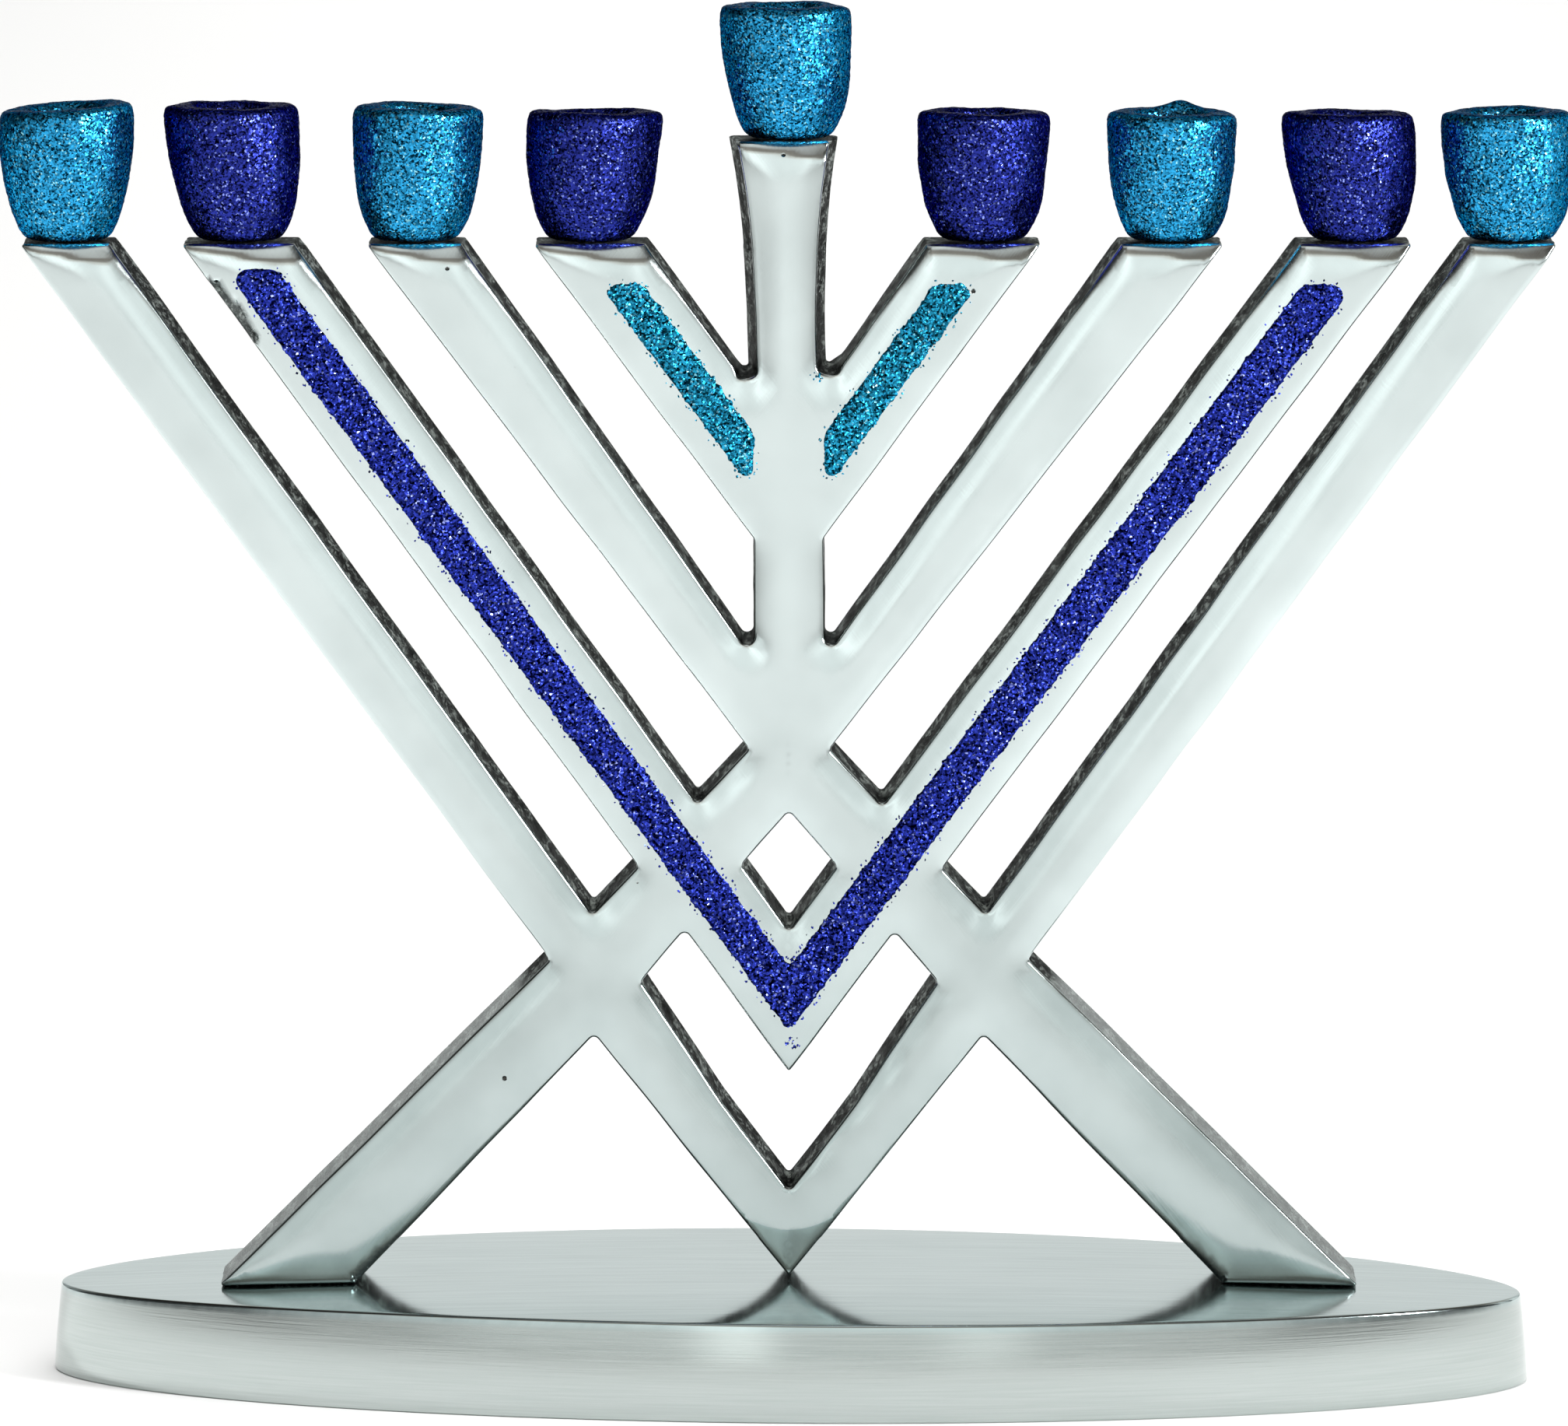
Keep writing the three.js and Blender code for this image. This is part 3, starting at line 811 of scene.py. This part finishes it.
def loose_flakes(places, random):
    """Flat little flakes, lying at random: their vertices and faces."""
    corners = np.array([(1, 0, 0), (0, 0, 1), (-1, 0, 0), (0, 0, -1), (0, -1, 0), (0, 1, 0)], float)
    sides = [(i, (i + 1) % 4, 4) for i in range(4)] + [((i + 1) % 4, i, 5) for i in range(4)]
    vertices, faces = [], []
    for x, y, z in places:
        size = FLAKE_SIZE * random.uniform(0.6, 1.3)
        shape = corners * (size, FLAKE_THICKNESS, size * random.uniform(0.7, 1.0))
        turn = Euler((random.uniform(-0.5, 0.5), random.uniform(0, math.pi), random.uniform(-0.5, 0.5)))
        first = len(vertices)
        vertices += [(x + v.x, y + v.y, z + v.z) for v in (turn.to_matrix() @ Vector(c) for c in shape)]
        faces += [(first + a, first + b, first + c) for a, b, c in sides]
    return np.array(vertices), faces


def spilled_places(region, extra, surface, random):
    """Places on the metal beside a stripe: a few everywhere, and more around the extra spots."""
    ring = np.vstack([loop - inward_normals(loop) * 0.1 for loop in region.loops])
    outward = -region.normals
    count = int(len(ring) * FILL_SPACING * SPILL_PER_MM)
    chosen = random.integers(0, len(ring), count)
    away = 0.15 + random.exponential(SPILL_REACH, count)
    flat = ring[chosen] + outward[chosen] * away[:, None] + random.normal(0, SPILL_JITTER, (count, 2))
    for x, z, spread, number in extra:
        flat = np.vstack([flat, random.normal((x, z), spread, (number, 2))])
    return upright(flat, surface(flat) - FLAKE_THICKNESS / 2)


def make_filling(node, surface, material, seed, extra=()):
    """Glitter in its groove, lumpy, with ragged edges that spill a little over the metal."""
    random = np.random.default_rng(seed)
    loops = []
    for loop in stripe_loops(node):
        loop = resampled(loop, FILL_SPACING)
        ragged = 0.35 + waves_at(padded(loop), FILL_EDGE_WAVES, seed)
        ragged += 0.3 * random.uniform(-1, 1, len(loop))
        loops.append(loop - inward_normals(loop) * (FILL_RAGGED * ragged)[:, None])
    region = Region(loops)
    points, triangles, rings = triangulated(region, (0.14,), FILL_SPACING)
    count = len(points)
    distance = region.distance(points)
    lumps = waves_at(padded(points), FILL_LUMPS, seed)
    grains = FILL_GRAIN * random.uniform(-1, 1, count)
    top = surface(points) + 0.06 - (FILL_PROUD + lumps + grains) * smoothstep(*FILL_EDGE, distance)
    front = upright(points, top)
    inner = points + region.normals[region.nearest(points)] * (0.6 * np.exp(-distance))[:, None]
    back = upright(inner, np.full(count, FRONT_Y + FILL_DEPTH))
    faces = plate_faces(count, triangles, rings, 0)
    spilled, flake_faces = loose_flakes(spilled_places(region, extra, surface, random), random)
    faces += [tuple(2 * count + i for i in face) for face in flake_faces]
    filling = new_object(node + "_glitter", np.vstack([front, back, spilled]), faces, smooth=False)
    finish_piece(filling, [node], material)


# ---------- cups ----------

def spaced(profile, step):
    """A smooth curve through the profile's points, sampled evenly."""
    points = np.array(profile)
    made = []
    for i in range(len(points) - 1):
        p0 = points[max(i - 1, 0)]
        p1, p2 = points[i], points[i + 1]
        p3 = points[min(i + 2, len(points) - 1)]
        count = max(1, round(np.hypot(*(p2 - p1)) / step))
        for t in np.arange(count) / count:
            made.append(0.5 * (2 * p1 + (p2 - p0) * t + (2 * p0 - 5 * p1 + 4 * p2 - p3) * t ** 2
                               + (3 * p1 - p0 - 3 * p2 + p3) * t ** 3))
    made.append(points[-1])
    return np.array(made)


def make_cup(node, shape, material):
    """A hand-formed cup: a turned shape with a lumpy coat, which leans and tilts a little."""
    low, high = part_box(node)
    outside = spaced(CUP_OUTSIDE + CUP_RIM, CUP_STEP)
    outline = np.vstack([outside, spaced(CUP_SOCKET, CUP_SOCKET_STEP), CUP_BOTTOM])
    rows = len(outline)
    angles = np.tile(np.arange(CUP_AROUND) / CUP_AROUND * 2 * math.pi, rows)
    radii, heights = np.repeat(outline, CUP_AROUND, axis=0).T
    out = np.column_stack([np.cos(angles), np.sin(angles)])
    points = np.column_stack([out * radii[:, None], heights])
    share = heights / CUP_HEIGHT
    skin = smoothstep(*CUP_SKIN, radii)
    random = np.random.default_rng(shape.seed)
    push = waves_at(points, CUP_WAVES, shape.seed) * smoothstep(0, 0.25, share)
    push += waves_at(points, CUP_FINE_WAVES, shape.seed)
    push += random.uniform(-CUP_GRAIN, CUP_GRAIN, len(points))
    push += (shape.belly - 1) * radii * np.sin(math.pi * np.clip(share, 0, 1) * 0.7)
    points[:, :2] += out * (push * skin)[:, None]
    upper = smoothstep(0.55, 1.0, share)
    points[:, 2] += upper * skin * waves_at(points, CUP_RIM_WAVES, shape.seed)
    tilts = np.tan(np.radians([shape.tilt, shape.nod]))
    points[:, 2] += share ** 2 * (points[:, :2] @ tilts)
    if node == LUMPED_CUP:
        away = np.hypot(*(points[:, :2] - LUMP_PLACE).T)
        points[:, 2] += LUMP_HEIGHT * upper * np.exp(-(away / LUMP_SIZE) ** 2)
    points[:, 2] *= shape.height
    points[:, 0] += shape.lean * np.clip(share, 0, 1) ** 1.5
    points += np.array([(low.x + high.x) / 2, (low.y + high.y) / 2, low.z]) / MM
    faces = []
    for r in range(rows):
        near, far = r * CUP_AROUND, (r + 1) % rows * CUP_AROUND
        for i in range(CUP_AROUND):
            j = (i + 1) % CUP_AROUND
            faces.append((near + i, near + j, far + j, far + i))
    cup = new_object(node + "_coated", points, faces)
    # Inside the socket the cup is painted near-black: painted shade.
    set_attribute(cup, "bare_and_painted_shade", 1 - smoothstep(*CUP_BARE_AND_SHADE, radii))
    finish_piece(cup, [node], material)


# ---------- base ----------

def base_ring(inset, height, count=BASE_SEGMENTS):
    """Points around the base's oval outline, turned as the base is. The height may be a function."""
    angles = np.arange(count) / count * 2 * math.pi
    c, s = np.cos(angles), np.sin(angles)
    x = (BASE_HALF_LENGTH - inset) * np.sign(c) * np.abs(c) ** (2 / BASE_POWER)
    y = (BASE_HALF_DEPTH - inset) * np.sign(s) * np.abs(s) ** (2 / BASE_POWER)
    turned_x = x * math.cos(BASE_TURN) - y * math.sin(BASE_TURN)
    turned_y = x * math.sin(BASE_TURN) + y * math.cos(BASE_TURN)
    z = height(turned_x, turned_y) if callable(height) else np.full(count, height)
    return np.column_stack([turned_x, turned_y, z])


def dome(x, y):
    """The height of the base's top."""
    sideways = BASE_FALL_X * (x / BASE_HALF_LENGTH) ** 2
    to_edge = np.where(y < 0, BASE_FALL_FRONT, BASE_FALL_BACK) * np.abs(y / BASE_HALF_DEPTH) ** BASE_CURL
    return BASE_CENTRE_Z - sideways - to_edge


def rim_height(x, y, share):
    """A height this far up the rim, between its chamfer and its rounded upper edge."""
    return BASE_CHAMFER + (dome(x, y) - BASE_EDGE - BASE_CHAMFER) * share


def ring_solid(name, rings, first_point, last_point):
    """A closed solid over rings of points, from one end point to the other."""
    count = len(rings[0])
    points = np.vstack([[first_point], *rings, [last_point]])
    last = len(points) - 1
    faces = []
    for i in range(count):
        j = (i + 1) % count
        faces.append((0, 1 + j, 1 + i))
        faces.append((last, last - count + i, last - count + j))
        for r in range(len(rings) - 1):
            a, b = 1 + r * count, 1 + (r + 1) * count
            faces.append((a + i, a + j, b + j, b + i))
    return new_object(name, points, faces)


def cylinder(name, radius, low, high, x):
    """An upright cylinder between two heights."""
    mesh = bpy.data.meshes.new(name)
    shape = bmesh.new()
    bmesh.ops.create_cone(shape, cap_ends=True, segments=48, radius1=radius * MM, radius2=radius * MM,
                          depth=(high - low) * MM)
    bmesh.ops.translate(shape, verts=shape.verts, vec=(x * MM, 0, (low + high) / 2 * MM))
    shape.to_mesh(mesh)
    shape.free()
    return linked(name, mesh)


def combined(thing, other, operation):
    """thing joined with or cut by other, which is used up."""
    modifier = thing.modifiers.new("cut", "BOOLEAN")
    modifier.operation = operation
    modifier.solver = "EXACT"
    modifier.object = other
    graph = bpy.context.evaluated_depsgraph_get()
    made = bpy.data.meshes.new_from_object(thing.evaluated_get(graph))
    thing.modifiers.clear()
    thing.data = made
    bpy.data.objects.remove(other)


def make_base(material):
    """A thick oval plate with a domed top, hollow below, with two bosses and their screw holes."""
    rings = [base_ring(BASE_CHAMFER, 0.0), base_ring(0.1, BASE_CHAMFER / 2)]
    for share in np.linspace(0.04, 1, BASE_RIM_ROWS):
        inset = BASE_DRAFT * share - BASE_RIM_BULGE * math.sin(math.pi * share)
        rings.append(base_ring(inset, lambda x, y: rim_height(x, y, share)))
    for angle in np.radians([20, 40, 60, 80, 90]):
        inset = BASE_DRAFT + BASE_EDGE * (1 - math.cos(angle))
        rings.append(base_ring(inset, lambda x, y: dome(x, y) - BASE_EDGE * (1 - math.sin(angle))))
    edge = rings[-1][:, :2]
    for scale in np.linspace(0.985, 0.02, BASE_TOP_ROWS):
        flat = edge * scale
        wave = BASE_TOP_WAVE * noise_at(padded(flat), 30, 3) * (1 - scale ** 8)
        rings.append(np.column_stack([flat, dome(*flat.T) + wave]))
    base = ring_solid("base_casting", rings, (0, 0, 0), (0, 0, BASE_CENTRE_Z))
    low_ring = base_ring(BASE_WALL, -1.0, 128)
    high_ring = base_ring(BASE_WALL + BASE_WALL_TAPER, BASE_CEILING_Z, 128)
    hollow = ring_solid("hollow", [low_ring, high_ring], (0, 0, -1), (0, 0, BASE_CEILING_Z))
    combined(base, hollow, "DIFFERENCE")
    for x in (-BOSS_X, BOSS_X):
        combined(base, cylinder("boss", BOSS_RADIUS, BOSS_BOTTOM_Z, BASE_CEILING_Z + 1, x), "UNION")
        combined(base, cylinder("hole", BASE_HOLE_RADIUS, 0, BASE_CENTRE_Z + 1, x), "DIFFERENCE")
    base.data.shade_smooth()
    x, y, z = np.array([v.co for v in base.data.vertices]).T / MM
    set_attribute(base, "rim", 1 - smoothstep(-1.3, -0.9, z - dome(x, y)))
    finish_piece(base, ["base"], material)


# ---------- materials ----------

class Nodes:
    """A short way to write a node tree."""

    def __init__(self, tree):
        self.tree = tree

    def set(self, socket, value):
        """Joins a socket to the value, or gives it the value where that is a constant."""
        if isinstance(value, bpy.types.NodeSocket):
            self.tree.links.new(value, socket)
        else:
            socket.default_value = value

    def made(self, kind, inputs=(), **settings):
        """The outputs of a new shader node. Its inputs are given by number or by name."""
        node = self.tree.nodes.new("ShaderNode" + kind)
        for key, value in settings.items():
            setattr(node, key, value)
        for key, value in dict(inputs).items():
            self.set(node.inputs[key], value)
        return node.outputs

    def math(self, operation, *values):
        return self.made("Math", enumerate(values), operation=operation)[0]

    def times(self, a, b):
        return self.math("MULTIPLY", a, b)

    def plus(self, a, b):
        return self.math("ADD", a, b)

    def ramp(self, value, stops):
        """A colour ramp with these stops: pairs of a place and a colour."""
        ramp = self.tree.nodes.new("ShaderNodeValToRGB")
        ramp.color_ramp.interpolation = "EASE"
        elements = ramp.color_ramp.elements
        elements.remove(elements[1])
        elements[0].position = stops[0][0]
        elements[0].color = (*stops[0][1], 1)
        for place, colour in stops[1:]:
            elements.new(place).color = (*colour, 1)
        self.set(ramp.inputs[0], value)
        return ramp.outputs[0]


class Material(Nodes):
    """A metal under construction. Patterns lie in the place of its object."""

    def __init__(self, name):
        self.material = bpy.data.materials.new(name)
        self.material.use_nodes = True
        super().__init__(self.material.node_tree)
        self.shader = self.tree.nodes["Principled BSDF"]
        self.place = self.made("TexCoord")["Object"]

    def finished(self, **values):
        """The material, with these values on its shader: base_color for Base Color, and so on."""
        for name, value in values.items():
            self.set(self.shader.inputs[name.replace("_", " ").title()], value)
        return self.material

    def stretched(self, scale, turn=0):
        """The place, stretched by these factors and turned about Y by this many degrees."""
        shrunk = [1 / factor for factor in scale]
        inputs = {"Vector": self.place, "Rotation": (0, math.radians(turn), 0), "Scale": shrunk}
        return self.made("Mapping", inputs, vector_type="TEXTURE")[0]

    def noise(self, place, scale, detail, roughness=0.55):
        inputs = {"Vector": place, "Scale": scale, "Detail": detail, "Roughness": roughness}
        return self.made("TexNoise", inputs)["Fac"]

    def cells(self, size):
        return self.made("TexVoronoi", {"Vector": self.place, "Scale": 1 / size})

    def remap(self, value, low, high, to_low=0, to_high=1):
        inputs = enumerate((value, low, high, to_low, to_high))
        return self.made("MapRange", inputs)["Result"]

    def mixed(self, factor, a, b):
        return self.made("Mix", {0: factor, 6: a, 7: b}, data_type="RGBA")[2]

    def attribute(self, name):
        return self.made("Attribute", attribute_name=name)["Fac"]

    def bump(self, height, strength, distance):
        inputs = {"Height": height, "Strength": strength, "Distance": distance}
        return self.made("Bump", inputs)["Normal"]


def pitted(n, spacing, size):
    """1 in a few tiny casting pits, far apart."""
    cells = n.cells(spacing)
    near = n.remap(cells["Distance"], size / spacing, 0.6 * size / spacing)
    chance = n.made("SeparateColor", {0: cells["Color"]})[0]
    return n.times(near, n.math("GREATER_THAN", chance, 0.55))


def polished_lattice():
    """Polished faces, painted darker low down as painted shade, with fine scratches and pits, and rough
    cast walls.
    """
    n = Material("polished_lattice")
    cast = n.attribute("cast")
    polished_share = n.math("SUBTRACT", 1.0, cast)
    clouds = n.noise(n.place, 70, 4)
    drawn = n.stretched((1, 0.25, 1))
    grain = n.noise(drawn, 1900, 4, 0.75)
    lumps = n.noise(drawn, 520, 3, 0.6)
    scratches = n.noise(n.stretched((1, 1, 30), 52), 110, 2)
    fine = n.noise(n.stretched((1, 1, 40), -52), 130, 2)
    pits = n.times(pitted(n, 0.011, 0.00042), polished_share)

    # The faces' colour is painted darker low down: painted shade, standing in for the darker surroundings
    # that the lower bars mirror.
    height = n.made("SeparateXYZ", {0: n.place})["Z"]
    upper = n.remap(height, 0.03, 0.12)
    painted_shade_and_tone = n.plus(n.times(upper, 0.75), n.remap(clouds, 0.3, 0.7, 0, 0.25))
    # Both colours are tinted mint as painted reflection of pale green-blue surroundings.
    polished = n.mixed(painted_shade_and_tone, (0.41, 0.475, 0.47, 1), (0.735, 0.82, 0.815, 1))
    polished = n.mixed(pits, polished, (0.05, 0.05, 0.045, 1))
    specks = n.remap(n.plus(n.times(grain, 0.6), n.times(lumps, 0.4)), 0.50, 0.60)
    rough = n.mixed(specks, (0.006, 0.006, 0.006, 1), (0.34, 0.37, 0.355, 1))
    glancing = n.mixed(specks, (0.22, 0.23, 0.225, 1), (0.95, 1.0, 0.97, 1))

    face_roughness = n.plus(n.remap(clouds, 0.35, 0.7, 0.09, 0.17), n.times(scratches, 0.07))
    side_roughness = n.remap(grain, 0.3, 0.7, 0.26, 0.55)
    lines = n.times(n.plus(scratches, fine), 0.022)
    face_height = n.math("SUBTRACT", n.times(lines, polished_share), pits)
    side_height = n.times(n.plus(grain, lumps), n.times(cast, cast))
    return n.finished(
        base_color=n.mixed(cast, polished, rough),
        specular_tint=n.mixed(cast, (1, 1, 1, 1), glancing),
        metallic=1.0,
        roughness=n.plus(n.times(face_roughness, polished_share), n.times(side_roughness, cast)),
        normal=n.bump(n.plus(face_height, side_height), 0.6, 0.0004))


def base_metal():
    """A polished top with faint streaks along it, and a brushed rim."""
    n = Material("base_metal")
    rim = n.attribute("rim")
    top_share = n.math("SUBTRACT", 1.0, rim)
    clouds = n.noise(n.place, 45, 4)
    streaks = n.noise(n.stretched((1, 30, 1)), 40, 4)
    brushing = n.noise(n.stretched((1, 1, 60)), 60, 4)
    # The top's and the rim's mint tints are painted reflection of pale green-blue surroundings.
    top = n.mixed(n.remap(streaks, 0.3, 0.7), (0.44, 0.525, 0.525, 1), (0.54, 0.63, 0.625, 1))
    side = n.mixed(n.remap(brushing, 0.3, 0.7), (0.455, 0.505, 0.49, 1), (0.52, 0.567, 0.553, 1))
    top_roughness = n.times(n.remap(clouds, 0.3, 0.7, 0.1, 0.17), top_share)
    rim_roughness = n.times(n.remap(brushing, 0.3, 0.7, 0.06, 0.11), rim)
    top_height = n.times(n.times(streaks, 0.12), top_share)
    rim_height = n.times(n.times(brushing, 0.045), rim)
    return n.finished(
        base_color=n.mixed(rim, top, side),
        metallic=1.0,
        roughness=n.plus(top_roughness, rim_roughness),
        normal=n.bump(n.plus(top_height, rim_height), 0.4, 0.0002))


def glitter(name, painted_shadow_colour, middle, painted_glint_colour, edge, flake, tumble):
    """Flakes: each cell of a fine pattern has its own tilt and its own tone, from painted shadow between
    flakes up to the usual colour, and a few cells are painted glints.

    Edge is the colour that they mirror at a glancing angle, set dark as painted shade. The sockets are
    bare of glitter and painted near-black as painted shade.
    """
    n = Material(name)
    colour = n.cells(flake)["Color"]
    tone_and_painted_shadow, painted_glint_share, dullness = n.made("SeparateColor", {0: colour})
    # The dark end is painted shadow between the flakes; the spread in between is random tone.
    body = n.mixed(n.remap(tone_and_painted_shadow, 0.12, 0.85), painted_shadow_colour, middle)
    # A few cells take the bright colour: painted glints.
    coat = n.mixed(n.remap(painted_glint_share, 0.93, 0.97), body, painted_glint_colour)

    def vector(operation, *values):
        return n.made("VectorMath", enumerate(values), operation=operation)[0]

    normal = n.made("NewGeometry")["Normal"]
    centred = vector("SUBTRACT", colour, (0.5, 0.5, 0.5))
    tilted = vector("MULTIPLY_ADD", centred, (tumble, tumble, tumble), normal)
    return n.finished(
        # The bare sockets are painted near-black: painted shade in the holes.
        base_color=n.mixed(n.attribute("bare_and_painted_shade"), coat, (0.012, 0.012, 0.014, 1)),
        # Dark at a glancing angle: painted shade.
        specular_tint=edge,
        metallic=1.0,
        roughness=n.remap(dullness, 0, 1, 0.18, 0.45),
        normal=vector("NORMALIZE", tilted))


def steel():
    n = Material("zinc_steel")
    clouds = n.noise(n.place, 900, 3)
    return n.finished(
        base_color=n.mixed(clouds, (0.42, 0.42, 0.43, 1), (0.62, 0.62, 0.62, 1)),
        metallic=1.0,
        roughness=n.remap(clouds, 0.3, 0.7, 0.25, 0.42),
        normal=n.bump(clouds, 0.2, 0.0001))


# ---------- stage ----------

def look_at(thing, target):
    direction = Vector(target) - thing.location
    thing.rotation_euler = direction.to_track_quat("-Z", "Y").to_euler()


def make_camera():
    """A long lens, so that the view is nearly flat."""
    data = bpy.data.cameras.new("camera")
    data.sensor_width = CAMERA_SENSOR
    data.lens = CAMERA_LENS
    data.clip_start, data.clip_end = 0.05, 100
    camera = linked("camera", data)
    camera.location = Vector(CAMERA_PLACE) * MM
    look_at(camera, Vector(CAMERA_AIM) * MM)
    bpy.context.scene.camera = camera


def make_floor():
    """A matt pale floor."""
    corners = np.array([(-1, -1, 0), (1, -1, 0), (1, 1, 0), (-1, 1, 0)]) * FLOOR_REACH
    floor = new_object("floor", corners, [(0, 1, 2, 3)], smooth=False)
    n = Material("pale_floor")
    n.shader.inputs["Specular IOR Level"].default_value = 0.0
    floor.data.materials.append(n.finished(base_color=FLOOR_COLOUR, roughness=1.0))


# The studio that the metal mirrors, by height: pale walls at the horizon (0), a warm dark ceiling,
# and a pale middle of that ceiling (1).
STUDIO_HEIGHTS = (
    (0.00, (0.92, 0.94, 0.93)),
    (0.14, (1.00, 1.03, 1.02)),
    (0.30, (0.98, 1.01, 1.00)),
    (0.50, (0.72, 0.69, 0.65)),
    (0.68, (0.27, 0.24, 0.21)),
    (0.84, (0.24, 0.21, 0.19)),
    (1.00, (0.80, 0.80, 0.79)),
)
# Its brightness by direction, in degrees from the front (0) to the right (90) and to the back (180):
# pale in front, with a slim brighter screen on each side of the camera that draws the streaks, dark at
# the sides, and pale again at the back, with dark gaps.
STUDIO_DIRECTIONS = (
    (-180, 0.82), (-165, 0.8), (-152, 0.35), (-138, 0.5), (-134, 0.1), (-124, 0.4),
    (-117, 0.08), (-104, 0.05), (-58, 0.05), (-38, 0.7), (-24, 1.0),
    (-14, 1.0), (-9, 1.6), (-4, 1.0), (4, 1.0), (9, 1.3), (14, 0.95),
    (28, 0.85), (42, 0.45), (56, 0.14), (74, 0.06), (84, 0.06), (104, 0.06), (110, 0.9),
    (118, 0.8), (124, 0.12), (132, 1.05), (144, 0.95), (152, 0.6), (164, 0.82), (180, 0.82),
)
FLOOR_COLOUR = (0.88, 0.885, 0.885, 1)
FLOOR_REACH = 12000
# A long soft box overhead, running from front to back. It isn't mirrored.
CEILING_PLACE = (0.06, -3.0, 0.95)
CEILING_SIZE = (1.4, 22.0)
CEILING_POWER = 152.0
# A softbox on the right, raised, that lights the glitter's right side.
SOFTBOX_AIM = (0, 0, 0.19)
SOFTBOX_PLACE = (1.42, -0.80, 0.72)
SOFTBOX_SIZE = (0.30, 0.42)
SOFTBOX_POWER = 1.1
SOFTBOX_SPREAD = math.radians(28)


def make_studio():
    """The world, whose colour depends on the height and its strength on the direction."""
    world = bpy.data.worlds.new("studio")
    bpy.context.scene.world = world
    world.use_nodes = True
    n = Nodes(world.node_tree)
    where = n.made("TexCoord")["Generated"]
    right, away, up = n.made("SeparateXYZ", {0: where})
    direction = n.math("ARCTAN2", right, n.times(away, -1.0))
    turn = n.math("MULTIPLY_ADD", direction, 0.5 / math.pi, 0.5)
    brightest_wall = max(max(colour) for _, colour in STUDIO_HEIGHTS)
    heights = [(place, [level / brightest_wall for level in colour]) for place, colour in STUDIO_HEIGHTS]
    brightest_side = max(level for _, level in STUDIO_DIRECTIONS)
    sides = [(angle / 360 + 0.5, [level / brightest_side] * 3) for angle, level in STUDIO_DIRECTIONS]
    background = n.tree.nodes["Background"]
    n.set(background.inputs["Color"], n.ramp(up, heights))
    n.set(background.inputs["Strength"], n.times(n.ramp(turn, sides), brightest_wall * brightest_side))


def make_softbox(name, place, target, size, power):
    data = bpy.data.lights.new(name, "AREA")
    data.shape = "RECTANGLE"
    data.size, data.size_y = size
    data.energy = power
    light = linked(name, data)
    light.location = place
    look_at(light, target)
    return light


def make_lights():
    make_studio()
    below = (*CEILING_PLACE[:2], 0)
    ceiling = make_softbox("ceiling", CEILING_PLACE, below, CEILING_SIZE, CEILING_POWER)
    ceiling.visible_glossy = False
    softbox = make_softbox("softbox", SOFTBOX_PLACE, SOFTBOX_AIM, SOFTBOX_SIZE, SOFTBOX_POWER)
    softbox.data.spread = SOFTBOX_SPREAD
    bpy.context.scene.view_settings.view_transform = "Standard"


# ---------- the model ----------

make_camera()
make_floor()
make_lights()

face_points, face_level = make_lattice(polished_lattice())
face_tree = point_tree(face_points)


def face_surface(points):
    """How far forward the lattice's face stands at each point."""
    found = []
    for x, z in points.tolist():
        near = face_tree.find_n((x, z, 0), 6)
        weights = [1 / (distance ** 2 + 0.05) for _, _, distance in near]
        total = sum(weight * face_level[i] for weight, (_, i, _) in zip(weights, near))
        found.append(total / sum(weights))
    return np.array(found)


coats = {slot: glitter(*values) for slot, values in COATS.items()}
fillings = (
    ("royal_filling", "royal_glitter", 31, ROYAL_SPILLS),
    ("teal_filling_left", "teal_glitter", 47, ()),
    ("teal_filling_right", "teal_glitter", 53, TEAL_SPILLS),
)
for filling_node, filling_slot, filling_seed, spills in fillings:
    make_filling(filling_node, face_surface, coats[filling_slot], filling_seed, spills)

slot_of = {s["node"]: s["material_slot"] for s in frame["record"]["subparts"]}
for cup_node, cup_shape in CUPS.items():
    cup_slot = slot_of[cup_node]
    make_cup(cup_node, cup_shape, coats[cup_slot])

make_base(base_metal())

screw_metal = steel()
for node_name, node_object in frame["nodes"].items():
    if slot_of[node_name] == "steel":
        node_object.data.materials.clear()
        node_object.data.materials.append(screw_metal)
